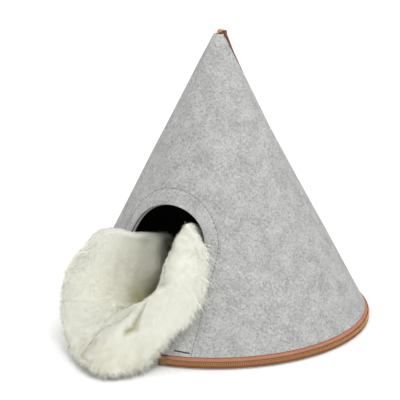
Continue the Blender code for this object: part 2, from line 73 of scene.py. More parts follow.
# %% [markdown]
# ## The camera
# A photograph fixes a camera by where it stands, what it aims at and how long its lens is. These
# were fitted to the cone's outline: its straight sides and round foot leave little room for error.
# A small shift keeps the aim point off the picture's middle without turning the camera.

# %% The camera
IMAGE_SIDE = 400
SENSOR_WIDTH = 36
FOCAL_PIXELS = 1270.4
AIM_PIXEL = (218.0, 191.9)
CAMERA_AT = Vector((1.0513, -1.6188, 0.7237))
AIM_AT = Vector((0, 0, 0.2))
CAMERA_ROLL = math.radians(-0.67)


def in_scene(name, data):
    """A new object that holds data, put into the scene."""
    made = bpy.data.objects.new(name, data)
    bpy.context.scene.collection.objects.link(made)
    return made


def make_camera():
    data = bpy.data.cameras.new("camera")
    data.sensor_width = SENSOR_WIDTH
    data.lens = data.sensor_width * FOCAL_PIXELS / IMAGE_SIDE
    data.shift_x = (IMAGE_SIDE / 2 - AIM_PIXEL[0]) / IMAGE_SIDE
    data.shift_y = (AIM_PIXEL[1] - IMAGE_SIDE / 2) / IMAGE_SIDE
    camera = in_scene("camera", data)
    forward = (AIM_AT - CAMERA_AT).normalized()
    level = forward.cross(Vector((0, 0, 1))).normalized()
    upright = level.cross(forward)
    right = level * math.cos(CAMERA_ROLL) + upright * math.sin(CAMERA_ROLL)
    above = upright * math.cos(CAMERA_ROLL) - level * math.sin(CAMERA_ROLL)
    columns = (right, above, -forward, CAMERA_AT)
    camera.matrix_world = Matrix([[c[row] for c in columns] for row in range(3)] + [[0, 0, 0, 1]])
    bpy.context.scene.camera = camera
    return camera


camera = make_camera()
print("lens %.1f mm, %.2f m from the cave" % (camera.data.lens, CAMERA_AT.length))

# %% [markdown]
# ## The studio
# The picture has a pure white ground and one faint, wide shadow. A white floor under a bright sky
# gives that. One lamp at the right shapes the cone a little, and a higher one, in front and to the
# right, lets some light in at the doorway. The first leaves the floor out, so that it throws no
# shadow to the left.

# %% The studio
FLOOR_SIDE = 6.0
FLOOR_COLOUR = (0.92, 0.92, 0.913, 1)
SKY_STRENGTH = 1.08
LAMPS = (
    # name, azimuth from the doorway and height in degrees, distance and side in m, power in W
    ("key", 91, 45, 2.7, 1.3, 15),
    ("fill", 45, 55, 2.5, 0.8, 20),
)


def new_material(name):
    """A new material, with its node tree and its shader."""
    material = bpy.data.materials.new(name)
    material.use_nodes = True
    return material, material.node_tree, material.node_tree.nodes["Principled BSDF"]


def make_floor():
    mesh = bpy.data.meshes.new("studio_floor")
    half = FLOOR_SIDE / 2
    corners = [(-half, -half, 0), (half, -half, 0), (half, half, 0), (-half, half, 0)]
    mesh.from_pydata(corners, [], [(0, 1, 2, 3)])
    floor = in_scene("studio_floor", mesh)
    paper, _, shader = new_material("white_ground")
    shader.inputs["Base Color"].default_value = FLOOR_COLOUR
    shader.inputs["Roughness"].default_value = 0.9
    shader.inputs["Specular IOR Level"].default_value = 0.0
    mesh.materials.append(paper)
    return floor


def light_studio(floor):
    """A bright sky over all, and two lamps. The key leaves the floor out, so that it stays even."""
    unlit = bpy.data.collections.new("kept out of the key lamp")
    unlit.objects.link(floor)
    unlit.collection_objects[0].light_linking.link_state = "EXCLUDE"
    world = bpy.data.worlds.new("studio")
    bpy.context.scene.world = world
    world.use_nodes = True
    sky = world.node_tree.nodes["Background"]
    sky.inputs["Color"].default_value = (1.0, 1.0, 1.0, 1)
    sky.inputs["Strength"].default_value = SKY_STRENGTH
    for name, azimuth, height, distance, side, watts in LAMPS:
        lamp = bpy.data.lights.new(name, "AREA")
        lamp.energy = watts
        lamp.size = side
        held = in_scene(name, lamp)
        turn, rise = math.radians(azimuth), math.radians(height)
        way = Vector((math.cos(rise) * math.sin(turn), -math.cos(rise) * math.cos(turn), math.sin(rise)))
        held.location = AIM_AT + way * distance
        held.rotation_mode = "QUATERNION"
        held.rotation_quaternion = way.to_track_quat("Z", "Y")
        held.visible_camera = False
        if name == "key":
            held.light_linking.receiver_collection = unlit
    bpy.context.scene.view_settings.view_transform = "Standard"


light_studio(make_floor())
print("sky %.2f and %d lamps" % (SKY_STRENGTH, len(LAMPS)))

# %% [markdown]
# ## Small helpers for nodes
# Shader trees and Geometry Nodes trees are built with the same few steps: add a node, give its
# sockets a number or a link, and set its options. One helper does that for both kinds.

# %% Helpers for nodes


def node(tree, kind, sockets=None, **options):
    """Adds a node. Sockets take plain values or the output socket that feeds them."""
    made = tree.nodes.new(kind)
    for key, value in options.items():
        setattr(made, key, value)
    for key, value in (sockets or {}).items():
        if isinstance(value, bpy.types.NodeSocket):
            tree.links.new(value, made.inputs[key])
        else:
            made.inputs[key].default_value = value
    return made


def group_tree(name, kind, inputs, outputs):
    """An empty node group with named sockets, given as (name, socket kind, value) rows."""
    tree = bpy.data.node_groups.new(name, kind)
    for label, socket, value in inputs:
        made = tree.interface.new_socket(label, in_out="INPUT", socket_type="NodeSocket" + socket)
        if value is not None:
            made.default_value = value
    for label, socket in outputs:
        tree.interface.new_socket(label, in_out="OUTPUT", socket_type="NodeSocket" + socket)
    return tree, tree.nodes.new("NodeGroupInput").outputs, tree.nodes.new("NodeGroupOutput")


def maths(tree, operation, a, b=0.0, c=0.0, clamp=False):
    return node(tree, "ShaderNodeMath", {0: a, 1: b, 2: c}, operation=operation, use_clamp=clamp).outputs[0]


def mixed(tree, share, a, b):
    """A colour between a and b."""
    made = node(tree, "ShaderNodeMix", {0: share, 6: a, 7: b}, data_type="RGBA")
    return made.outputs[2]


def baked(piece, set_up):
    """Lets set_up add a modifier, and turns the result into the piece's plain mesh."""
    set_up(piece)
    bpy.context.view_layer.update()
    graph = bpy.context.evaluated_depsgraph_get()
    mesh = bpy.data.meshes.new_from_object(piece.evaluated_get(graph))
    piece.modifiers.clear()
    old = piece.data
    piece.data = mesh
    bpy.data.meshes.remove(old)
    return piece


print("helpers ready")

# %% [markdown]
# ## Loose fibres: one effect for felt, fleece and tape
# Felt is a mat of curled fibres in a few greys. Contour lines of a noise make such curls: where the
# noise crosses its middle value there is a thin bent line. Two sizes of noise under them give the
# cloudy patches that a heathered felt shows. The group puts out a share for mixing two colours and
# a height for a Bump node, and every cloth on the cave uses it with its own numbers. The wall's
# inner face is painted nearly black as shade, for the cave's inside, where no light shows.

# %% The fibre group
CLOUD_GAIN = 0.9
FLECK_GAIN = 1.4
FLECK_HEIGHT = 0.7
CURL_LEVEL, CURL_NARROWNESS = 0.5, 16.0
DARK_CURL_LEVEL, DARK_CURL_NARROWNESS, DARK_CURL_GAIN = 0.6, 22.0, -2.0


def fibre_group():
    tree, given, result = group_tree(
        "Curled fibres",
        "ShaderNodeTree",
        [
            ("Place", "Vector", None),
            ("Cloud size", "Float", 0.012),
            ("Fleck size", "Float", 0.004),
            ("Curl size", "Float", 0.003),
            ("Curl strength", "Float", 0.5),
        ],
        [("Share", "Float"), ("Height", "Float")],
    )
    scales = {}
    for label in ("Cloud size", "Fleck size", "Curl size"):
        scales[label] = maths(tree, "DIVIDE", 1.0, given[label])
    noise = {}
    for label, detail, distortion in (("Cloud size", 3, 0.4), ("Fleck size", 2, 0.8), ("Curl size", 2, 1.6)):
        sockets = {"Vector": given["Place"], "Scale": scales[label]}
        sockets |= {"Detail": detail, "Distortion": distortion}
        noise[label] = node(tree, "ShaderNodeTexNoise", sockets).outputs["Fac"]

    def contour(level, narrowness):
        """Thin bent lines where the curl noise crosses a level."""
        away = maths(tree, "ABSOLUTE", maths(tree, "SUBTRACT", noise["Curl size"], level))
        return maths(tree, "SUBTRACT", 1.0, maths(tree, "MULTIPLY", away, narrowness), clamp=True)

    clouds = maths(tree, "MULTIPLY_ADD", noise["Cloud size"], CLOUD_GAIN, -CLOUD_GAIN / 2)
    flecks = maths(tree, "MULTIPLY_ADD", noise["Fleck size"], FLECK_GAIN, -FLECK_GAIN / 2)
    share = maths(tree, "ADD", maths(tree, "ADD", clouds, flecks), 0.5)
    lifted = maths(tree, "MULTIPLY", contour(CURL_LEVEL, CURL_NARROWNESS), given["Curl strength"])
    darkening = maths(tree, "MULTIPLY", given["Curl strength"], DARK_CURL_GAIN)
    sunk = maths(tree, "MULTIPLY", contour(DARK_CURL_LEVEL, DARK_CURL_NARROWNESS), darkening)
    share = maths(tree, "ADD", maths(tree, "ADD", share, sunk), lifted, clamp=True)
    height = maths(tree, "MULTIPLY_ADD", noise["Fleck size"], FLECK_HEIGHT, lifted)
    tree.links.new(share, result.inputs["Share"])
    tree.links.new(height, result.inputs["Height"])
    return tree


FIBRES = fibre_group()
CLOTH_GLOSS = 0.15


def cloth_material(name, dark, light, sizes, curl, bump, roughness=0.95, place="flat", inside=None):
    """A fibrous cloth: two colours mixed by the fibre group, and its height as a bump.

    place is a UV map's name, or Object. inside is the colour where the "inside" value is 1: painted
    shade on the felt's inner face and in the wool's valley and creases.
    """
    material, tree, shader = new_material(name)
    shader.inputs["Roughness"].default_value = roughness
    shader.inputs["Specular IOR Level"].default_value = CLOTH_GLOSS
    if place == "Object":
        where = node(tree, "ShaderNodeTexCoord").outputs["Object"]
    else:
        where = node(tree, "ShaderNodeUVMap", uv_map=place).outputs["UV"]
    fibres = node(tree, "ShaderNodeGroup", node_tree=FIBRES)
    tree.links.new(where, fibres.inputs["Place"])
    for label, size in zip(("Cloud size", "Fleck size", "Curl size"), sizes):
        fibres.inputs[label].default_value = size
    fibres.inputs["Curl strength"].default_value = curl
    colour = mixed(tree, fibres.outputs["Share"], (*dark, 1), (*light, 1))
    if inside:
        mask = node(tree, "ShaderNodeAttribute", attribute_name="inside").outputs["Fac"]
        colour = mixed(tree, mask, colour, (*inside, 1))
    tree.links.new(colour, shader.inputs["Base Color"])
    sockets = {"Height": fibres.outputs["Height"], "Distance": bump, "Strength": 1.0}
    relief = node(tree, "ShaderNodeBump", sockets)
    tree.links.new(relief.outputs["Normal"], shader.inputs["Normal"])
    return material


FELT_SIZES = (0.026, 0.0036, 0.0046)
FELT_DARK, FELT_LIGHT = (0.215, 0.215, 0.21), (0.465, 0.465, 0.455)
FLOOR_DARK, FLOOR_LIGHT = (0.36, 0.36, 0.35), (0.60, 0.60, 0.59)
# Painted shade: the felt's inner face, and the facing's, is painted nearly black for the shade inside the
# cave.
FELT_INNER_SHADE = (0.05, 0.048, 0.045)
FELT_CURL, FLOOR_CURL = 0.28, 0.20
FELT_BUMP = 0.0006
felt = cloth_material(
    "heathered_felt", FELT_DARK, FELT_LIGHT, FELT_SIZES, FELT_CURL, FELT_BUMP, inside=FELT_INNER_SHADE
)
floor_felt_finish = cloth_material(
    "floor_felt_finish", FLOOR_DARK, FLOOR_LIGHT, FELT_SIZES, FLOOR_CURL, FELT_BUMP, place="Object"
)
print("felt finishes:", felt.name, floor_felt_finish.name)

# %% [markdown]
# ## From flat felt to a cone
# A cone unrolls into a flat sector, so a maker cuts the wall from one flat sheet. The same rule
# works both ways: a point at an angle round the cone and a height lies, in the flat, at that
# slant distance from the tip and at the angle times the sine of the cone's lean. Working in the
# flat keeps every seam allowance and stitch line at its real distance.

# %% Flat felt and rolled felt
FOOT_RADIUS = 240 * MM
FOOT_HEIGHT = 4 * MM
POINT_HEIGHT = 458.5 * MM
SLOPE = FOOT_RADIUS / (POINT_HEIGHT - FOOT_HEIGHT)
LEAN = math.atan(SLOPE)
WALL_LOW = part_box("cone_wall")[0].z
WALL_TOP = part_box("cone_wall")[1].z
FELT = 3.5 * MM
FLARE_START = 415 * MM
FLARE = 1.2 * MM
BEND = 2.5 * MM
RIM_THINNER = 1.3 * MM
SEAM_ANGLE = math.radians(158)
SEAM_WAY = np.array([math.sin(SEAM_ANGLE), -math.cos(SEAM_ANGLE), 0])
FLAT_MIDDLE = SEAM_ANGLE - math.pi
LAP_HALF = 12 * MM
LAP_RISE = 26 * MM
LAP_LOOSENESS = 0.8 * MM
LAP_WIDEST = 0.75
RISE_WIDEST = 0.9


def smoothstep(x):
    x = np.clip(x, 0, 1)
    return x * x * (3 - 2 * x)


def flared(z):
    return smoothstep((z - FLARE_START) / (WALL_TOP - FLARE_START))


def cone_radius(z):
    return SLOPE * (POINT_HEIGHT - z) + FLARE * flared(z)


def flat_place(angle, z):
    """Where a point of the cone lies in the flat pattern. Angles are round from the doorway."""
    slant = (POINT_HEIGHT - z) / math.cos(LEAN)
    turn = (angle - FLAT_MIDDLE) * math.sin(LEAN)
    return np.stack([slant * np.sin(turn), -slant * np.cos(turn)], axis=-1)


def angle_and_height(flat):
    """The way back: angle round the cone and height of flat points."""
    slant = np.hypot(flat[:, 0], flat[:, 1])
    turn = np.arctan2(flat[:, 0], -flat[:, 1])
    return turn / math.sin(LEAN) + FLAT_MIDDLE, POINT_HEIGHT - slant * math.cos(LEAN)


def lap_half_angle(z):
    return np.minimum(LAP_HALF / cone_radius(z), LAP_WIDEST)


def felt_level(z):
    """The wall's thickness along a level line. It is pinched a little thinner at the tip."""
    return FELT / math.cos(LEAN) - RIM_THINNER * flared(z)


def lap_lift(angle, z):
    """The outer end of the wall climbs over its inner end, which lies under the lap."""
    rise = np.minimum(LAP_RISE / cone_radius(z), RISE_WIDEST)
    share = smoothstep((angle - (SEAM_ANGLE - lap_half_angle(z) - rise)) / rise)
    return share * (felt_level(z) + LAP_LOOSENESS)


def round_places(radius, angles, heights):
    """Places round the cave's axis. Angles are round from the doorway."""
    heights = np.broadcast_to(heights, np.shape(angles))
    return np.stack([radius * np.sin(angles), -radius * np.cos(angles), heights], axis=1)


def rolled(flat, depth, relief):
    """Rolls flat points up. Depth is measured inwards from the felt's outer face, square to it."""
    angle, z = angle_and_height(flat)
    level_depth = depth / math.cos(LEAN) - relief / math.cos(LEAN)
    radius = cone_radius(z) + lap_lift(angle, z) - level_depth
    bend = (BEND * flared(z))[:, None] * SEAM_WAY
    return round_places(radius, angle, z) + bend


print("the cone leans %.1f degrees and unrolls to %.0f" % (math.degrees(LEAN), 360 * math.sin(LEAN)))

# %% [markdown]
# ## Cutting a sheet
# A doorway is awkward to cut from a grid of squares, but a constrained triangulation takes any
# outline: it fills the flat pattern with even triangles that stop exactly at the cut edges. The
# filled pattern is then copied for the felt's two faces, rolled up, and closed with a narrow rim
# that bulges a little, because a cut felt edge is soft and never sharp.

# %% Cutting a sheet
# Shares of a pattern's spacing: between its rows of points, and kept clear beside closer points
# and beside the cut edges.
ROW_STEP = 0.87
CLEAR_OF_EXTRA = 0.6
CLEAR_OF_EDGE = 0.45


def unit(vectors):
    return vectors / np.maximum(np.linalg.norm(vectors, axis=1, keepdims=True), 1e-9)


def right_of(way):
    """The flat direction to the right of each flat way."""
    return np.stack([way[:, 1], -way[:, 0]], axis=1)


def search_tree(points):
    """A tree that finds the nearest of many points. Flat points lie at height 0."""
    tree = KDTree(len(points))
    for i, point in enumerate(points):
        tree.insert((*point, 0)[:3], i)
    tree.balance()
    return tree


def with_steps(corners, step):
    """A closed outline's points, with extra ones so that none are further apart than step."""
    points = []
    for a, b in zip(corners, np.roll(corners, -1, axis=0)):
        count = max(1, int(math.ceil(np.linalg.norm(b - a) / step)))
        points += [a + (b - a) * i / count for i in range(count)]
    return np.array(points)


def signed_area(loop):
    x, y = loop[:, 0], loop[:, 1]
    return 0.5 * float(np.sum(x * np.roll(y, -1) - np.roll(x, -1) * y))


def within(points, loop):
    """Whether each flat point lies within the loop, by counting the edges to its right."""
    inside = np.zeros(len(points), bool)
    for (ax, ay), (bx, by) in zip(loop, np.roll(loop, -1, axis=0)):
        spans = (points[:, 1] < ay) != (points[:, 1] < by)
        if spans.any():
            crossing = ax + (points[:, 1] - ay) * (bx - ax) / (by - ay if by != ay else 1)
            inside ^= spans & (points[:, 0] < crossing)
    return inside


def fill_pattern(outline, holes, spacing, extra=None):
    """Triangles over a flat outline with holes, and closer points where extra ones are given.

    Returns the points, the triangles and each edge loop's indices.
    """
    loops = [outline if signed_area(outline) > 0 else outline[::-1]]
    loops += [hole if signed_area(hole) < 0 else hole[::-1] for hole in holes]
    low, high = outline.min(0), outline.max(0)
    across = np.arange(low[0], high[0], spacing)
    up = np.arange(low[1], high[1], spacing * ROW_STEP)
    grid = np.array([[x + (row % 2) * spacing / 2, y] for row, y in enumerate(up) for x in across])
    if extra is not None:
        tree = search_tree(extra)
        clear = [tree.find((*p, 0))[2] > spacing * CLEAR_OF_EXTRA for p in grid]
        grid = np.concatenate([grid[clear], extra])
    keep = within(grid, loops[0])
    for hole in loops[1:]:
        keep &= ~within(grid, hole)
    edge_points = np.concatenate(loops)
    tree = search_tree(edge_points)
    keep &= np.array([tree.find((*p, 0))[2] > spacing * CLEAR_OF_EDGE for p in grid])
    points = [Vector(p) for p in np.concatenate([edge_points, grid[keep]])]
    edges, starts = [], np.cumsum([0] + [len(loop) for loop in loops])
    for start, loop in zip(starts, loops):
        edges += [(start + i, start + (i + 1) % len(loop)) for i in range(len(loop))]
    made = geometry.delaunay_2d_cdt(points, edges, [], 0, 1e-7)
    flat = np.array([tuple(p) for p in made[0]])
    came_from = {source: i for i, sources in enumerate(made[3]) for source in sources}
    triangles = np.array(made[2])
    middles = flat[triangles].mean(axis=1)
    keep = within(middles, loops[0])
    for hole in loops[1:]:
        keep &= ~within(middles, hole)
    rims = [[came_from[start + i] for i in range(len(loop))] for start, loop in zip(starts, loops)]
    return flat, triangles[keep], rims


RIM_DEPTHS = (0.18, 0.5, 0.82)
RIM_BULGE = 0.7 * MM
SHARP_FROM = math.radians(50)


def cut_sheet(name, pattern, place, material):
    """Both faces of a filled pattern and the soft rim between them, as one closed mesh object.

    place(flat, share) puts flat points into space, at a share of the way from outer to inner face.
    """
    flat, triangles, rims = pattern
    count = len(flat)
    layers = [place(flat, 0.0), place(flat, 1.0)]
    flats = [flat, flat]
    shares = [np.zeros(count), np.ones(count)]
    faces = [tuple(t) for t in triangles] + [tuple(count + i for i in t[::-1]) for t in triangles]
    total = 2 * count
    for rim in rims:
        edge = flat[rim]
        off = right_of(unit(np.roll(edge, -1, axis=0) - np.roll(edge, 1, axis=0)))
        rings = [list(rim)]
        for share in RIM_DEPTHS:
            spread = edge + off * RIM_BULGE * math.sin(math.pi * share)
            layers.append(place(spread, share))
            flats.append(spread)
            shares.append(np.full(len(rim), share))
            rings.append(list(range(total, total + len(rim))))
            total += len(rim)
        rings.append([count + i for i in rim])
        for near, far in zip(rings, rings[1:]):
            for i in range(len(rim)):
                k = (i + 1) % len(rim)
                faces.append((near[i], far[i], far[k], near[k]))
    points, flats, shares = (np.concatenate(rows) for rows in (layers, flats, shares))
    return plain_mesh(name, points, faces, material, flats, shares)


def plain_mesh(name, points, faces, material, flat=None, inside=None):
    """A mesh object with its faces out, smooth but for its sharp edges.

    flat, its flat pattern, becomes a UV map. inside is kept as a number on each vertex.
    """
    mesh = bpy.data.meshes.new(name)
    mesh.from_pydata([tuple(p) for p in points], [], faces)
    if flat is not None:
        corners = np.zeros(len(mesh.loops), np.int32)
        mesh.loops.foreach_get("vertex_index", corners)
        mesh.uv_layers.new(name="flat").data.foreach_set("uv", flat[corners].astype(np.float32).ravel())
    if inside is not None:
        mesh.attributes.new("inside", "FLOAT", "POINT").data.foreach_set("value", inside.astype(np.float32))
    shape = bmesh.new()
    shape.from_mesh(mesh)
    if shape.calc_volume(signed=True) < 0:
        bmesh.ops.reverse_faces(shape, faces=shape.faces)
    shape.to_mesh(mesh)
    shape.free()
    mesh.shade_smooth()
    mesh.set_sharp_from_angle(angle=SHARP_FROM)
    mesh.materials.append(material)
    return in_scene(name, mesh)


def triangle_count(piece):
    piece.data.calc_loop_triangles()
    return len(piece.data.loop_triangles)


print("cutting tools ready")

# %% [markdown]
# ## The doorway's outline and its stitch line
# The doorway is an arch over straight sides and a rounded sill. Its facing, a second ply behind the
# wall, is stitched through from the front along a larger arch. The stitches draw the felt in, so
# that line shows as a shallow groove with a puffed band inside it.

# %% The doorway's lines
DOOR_HALF_WIDTH = 69 * MM
DOOR_TOP = 211 * MM
DOOR_SPRING = 148 * MM
DOOR_SILL = 45 * MM
DOOR_CORNER = 16 * MM
FACING_LOW, FACING_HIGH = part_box("door_facing")
FACING_HALF_WIDTH = (FACING_HIGH.x - FACING_LOW.x) / 2
FACING_CORNER = 3 * MM
FACING_LIP = 0.8 * MM
STITCH_RADIUS = 91.5 * MM
STITCH_CENTRE = 346.5 * MM
STITCH_END = 488 * MM
GROOVE_DEPTH = 0.9 * MM
GROOVE_WIDTH = 1.7 * MM
PUFF = 0.7 * MM
PUFF_SET_IN = 9 * MM
PUFF_WIDTH = 8 * MM
CORNER_POINTS = 6
ARCH_POINTS = 49
OUTLINE_STEP = 3 * MM


def arch(half_width, top, spring, sill, corner):
    """An arch over a sill with round corners, as level and upright places seen from the front."""
    right = [
        (half_width - corner + corner * math.sin(t), sill + corner - corner * math.cos(t))
        for t in np.linspace(0, math.pi / 2, CORNER_POINTS)
    ]
    half = np.linspace(0, math.pi, ARCH_POINTS)
    over = [(half_width * math.cos(t), spring + (top - spring) * math.sin(t)) for t in half]
    left = [(-x, z) for x, z in right[::-1]]
    return np.array(right + over + left)


def on_cone(front):
    """Level and upright places, seen from the front, as flat pattern points of the cone."""
    x, z = front[:, 0], front[:, 1]
    return flat_place(np.arcsin(x / cone_radius(z)), z)


def arch_pattern(half_width, top, sill, corner, lip=0.0):
    """An arch's outline in the flat, drawn in all round by lip."""
    places = arch(half_width - lip, top - lip, DOOR_SPRING, sill + lip, corner)
    return on_cone(with_steps(places, OUTLINE_STEP))


def stitch_distance(flat):
    """How far flat points lie outside the facing's stitch line, negative within it."""
    angle, z = angle_and_height(flat)
    slant = (POINT_HEIGHT - z) / math.cos(LEAN)
    aside = slant * np.sin(angle * math.sin(LEAN))
    below = STITCH_CENTRE - slant * np.cos(angle * math.sin(LEAN))
    return np.where(below > 0, np.hypot(aside, below), np.abs(aside)) - STITCH_RADIUS


def stitch_line(step):
    """The facing's stitch line in the flat, from low on its left, over the arch, to low on its right."""
    straight = STITCH_END - STITCH_CENTRE
    length = 2 * straight + math.pi * STITCH_RADIUS
    points = []
    for run in np.linspace(0, length, int(length / step)):
        if run < straight:
            aside, below = -STITCH_RADIUS, run - straight
        elif run < length - straight:
            turn = (run - straight) / STITCH_RADIUS
            aside, below = -STITCH_RADIUS * math.cos(turn), STITCH_RADIUS * math.sin(turn)
        else:
            aside, below = STITCH_RADIUS, length - straight - run
        along = STITCH_CENTRE - below
        slant = math.hypot(aside, along)
        angle = np.array([math.atan2(aside, along) / math.sin(LEAN)])
        points.append(flat_place(angle, np.array([POINT_HEIGHT - slant * math.cos(LEAN)]))[0])
    return np.array(points)


DOORWAY = (DOOR_HALF_WIDTH, DOOR_TOP, DOOR_SILL, DOOR_CORNER)
door_outline = arch_pattern(*DOORWAY)
facing_stitches = stitch_line(OUTLINE_STEP)
print("the stitch line runs %d steps round the doorway" % len(facing_stitches))

# %% [markdown]
# ## The wall
# The flat wall is a wide fan: an arc at the hem, a small arc at the tip and two edges for the lap.
# The hem is cut higher where the zip is sewn on. A few listed waves keep the felt from looking
# machined, and rows of closer points let the stitch groove show in the shape itself.

# %% The wall
ZIP_START = math.radians(11.0)
ZIP_END = math.radians(308.0)
ZIP_CUT = math.radians(0.3)
HEM_HEIGHT = 16.6 * MM
HEM_STEPS_PER_RADIAN = 80
WALL_END_STEPS = 110
TIP_STEPS = 26
TIP_OVERLAP = 0.7
GROOVE_ROWS = (-4.2, -1.8, 0, 1.8, 4.2)
GROOVE_FROM, GROOVE_FADE = 22 * MM, 10 * MM
WAVES_FROM, WAVES_FADE_IN = 30 * MM, 40 * MM
WAVES_TO, WAVES_FADE_OUT = 400 * MM, 60 * MM
WALL_SPACING = 6.5 * MM
WAVES = (
    # angle round the cone, height, reach and outward size of each soft wave, in degrees and mm
    (60, 120, 55, 0.8),
    (25, 290, 60, -0.7),
    (-45, 260, 50, 0.7),
    (95, 210, 60, -0.8),
    (140, 120, 50, 0.8),
    (-100, 150, 60, -0.7),
    (-150, 230, 60, 0.7),
)


def wall_outline():
    """The wall's flat outline: the hem, the outer end, the tip and the inner end under the lap."""
    zip_end = ZIP_END + ZIP_CUT - 2 * math.pi
    zip_start = ZIP_START - ZIP_CUT
    inner_end = SEAM_ANGLE - 2 * math.pi
    hem = []
    for start, end, z in (
        (inner_end - lap_half_angle(HEM_HEIGHT), zip_end, HEM_HEIGHT),
        (zip_end, zip_start, WALL_LOW),
        (zip_start, SEAM_ANGLE + lap_half_angle(HEM_HEIGHT), HEM_HEIGHT),
    ):
        steps = max(2, int(abs(end - start) * HEM_STEPS_PER_RADIAN))
        hem += [(a, z) for a in np.linspace(start, end, steps)]
    heights = np.linspace(HEM_HEIGHT, WALL_TOP, WALL_END_STEPS)
    outer_end = [(SEAM_ANGLE + lap_half_angle(z), z) for z in heights[1:]]
    tip_angles = np.linspace(SEAM_ANGLE + TIP_OVERLAP, inner_end - TIP_OVERLAP, TIP_STEPS)
    tip = [(a, WALL_TOP) for a in tip_angles[1:-1]]
    under_end = [(inner_end - lap_half_angle(z), z) for z in heights[:0:-1]]
    places = np.array(hem + outer_end + tip + under_end)
    return flat_place(places[:, 0], places[:, 1])


def falloff(distance, reach):
    """1 at no distance, 0.37 at the reach, and fading to nothing beyond it."""
    return np.exp(-((distance / reach) ** 2))


def wall_relief(flat):
    """How far the outer face stands proud of the true cone: the stitch groove, the puff, the waves."""
    angle, z = angle_and_height(flat)
    away = stitch_distance(flat)
    above_hem = smoothstep((z - GROOVE_FROM) / GROOVE_FADE)
    relief = -GROOVE_DEPTH * falloff(away, GROOVE_WIDTH) * above_hem
    relief += PUFF * falloff(away + PUFF_SET_IN, PUFF_WIDTH) * above_hem
    middle = smoothstep((z - WAVES_FROM) / WAVES_FADE_IN) * smoothstep((WAVES_TO - z) / WAVES_FADE_OUT)
    for wave_angle, wave_z, reach, size in WAVES:
        turn = (angle - math.radians(wave_angle) + math.pi) % (2 * math.pi) - math.pi
        away = np.hypot(turn * cone_radius(z), z - wave_z * MM)
        relief += size * MM * falloff(away, reach * MM) * middle
    return relief


def wall_place(flat, share):
    angle, z = angle_and_height(flat)
    return rolled(flat, felt_level(z) * math.cos(LEAN) * share, wall_relief(flat))


def groove_points():
    """Closer points beside the stitch line, so that the groove has a shape."""
    off = right_of(unit(np.gradient(facing_stitches, axis=0)))
    return np.concatenate([facing_stitches + off * d * MM for d in GROOVE_ROWS])


wall_pattern = fill_pattern(wall_outline(), [door_outline], WALL_SPACING, groove_points())
felt_wall = cut_sheet("felt_wall", wall_pattern, wall_place, felt)
print("felt wall: %d triangles" % triangle_count(felt_wall))

# %% [markdown]
# ## The facing behind the doorway
# It is cut from the same felt with the same tool: the doorway's arch inside, a larger arch outside,
# placed one felt and a small gap further in. Its inner edge stands just within the wall's, so that
# the doorway's edge shows two plies with a thin dark line between them.

# %% The doorway facing
FACING_FELT = 3.0 * MM
FACING_GAP = 0.6 * MM
FACING_SPACING = 5 * MM


def facing_place(flat, share):
    return rolled(flat, FELT + FACING_GAP + FACING_FELT * share, wall_relief(flat) * (1 - share))


facing_inner = arch_pattern(*DOORWAY, lip=FACING_LIP + RIM_BULGE)
facing_outer = arch_pattern(FACING_HALF_WIDTH, FACING_HIGH.z, FACING_LOW.z, FACING_CORNER, lip=RIM_BULGE)
facing_pattern = fill_pattern(facing_outer, [facing_inner], FACING_SPACING)
felt_facing = cut_sheet("felt_facing", facing_pattern, facing_place, felt)
print("felt facing: %d triangles" % triangle_count(felt_facing))

# %% [markdown]
# ## The floor
# The floor is one felt disc. Its pattern is a circle, filled with the same tool and laid flat
# instead of rolled.

# %% The floor disc
FLOOR_LOW, FLOOR_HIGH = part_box("floor_disc")
FLOOR_RADIUS = (FLOOR_HIGH.x - FLOOR_LOW.x) / 2
FLOOR_FELT = FLOOR_HIGH.z - FLOOR_LOW.z
FLOOR_SPACING = 12 * MM
FLOOR_STEPS = 260


def floor_place(flat, share):
    return np.column_stack([flat, np.full(len(flat), FLOOR_FELT * (1 - share))])


turns = np.linspace(0, 2 * math.pi, FLOOR_STEPS)[:-1]
rim = FLOOR_RADIUS - RIM_BULGE
floor_circle = np.column_stack([rim * np.cos(turns), rim * np.sin(turns)])
floor_pattern = fill_pattern(floor_circle, [], FLOOR_SPACING)
felt_floor = cut_sheet("felt_floor", floor_pattern, floor_place, floor_felt_finish)
print("felt floor: %d triangles, radius %.1f mm" % (triangle_count(felt_floor), FLOOR_RADIUS / MM))

# %% [markdown]
# ## Bands that run round the foot
# A zip is two woven tapes with a row of teeth between them. Each tape is a narrow section swept
# round the foot, with a soft fold at its edges. Its flat pattern, length by width, carries the weave,
# so the threads follow the tape round the cave.

# %% Sweeping a band
ZIP_STEPS = 330
TAPE = 1.0 * MM
UPPER_TAPE = ((19.6, 226.6), (17.4, 227.6), (15.6, 229.2), (15.2, 233.6), (13.8, 236.0), (11.6, 237.2))
LOWER_TAPE = ((7.1, 239.4), (4.8, 239.6), (2.5, 239.5))
TAPE_CORNER_CUT = 0.22
TAPE_EDGE_SHARE = 0.45


def rounded_rows(rows, corner_cut):
    """A path's rows with the corners between them rounded, and its ends as they are."""
    points = np.array(rows)
    for _ in range(2):
        cut = [points[0]]
        for a, b in zip(points, points[1:]):
            cut += [a * (1 - corner_cut) + b * corner_cut, a * corner_cut + b * (1 - corner_cut)]
        points = np.array(cut + [points[-1]])
    return points


def even_steps(points, count):
    """Even steps along a path, measured in its first two columns, and the run to each step."""
    spans = np.linalg.norm(np.diff(points[:, :2], axis=0), axis=1)
    lengths = np.concatenate([[0], np.cumsum(spans)])
    where = np.linspace(0, lengths[-1], count)
    return np.stack([np.interp(where, lengths, column) for column in points.T], axis=1), where


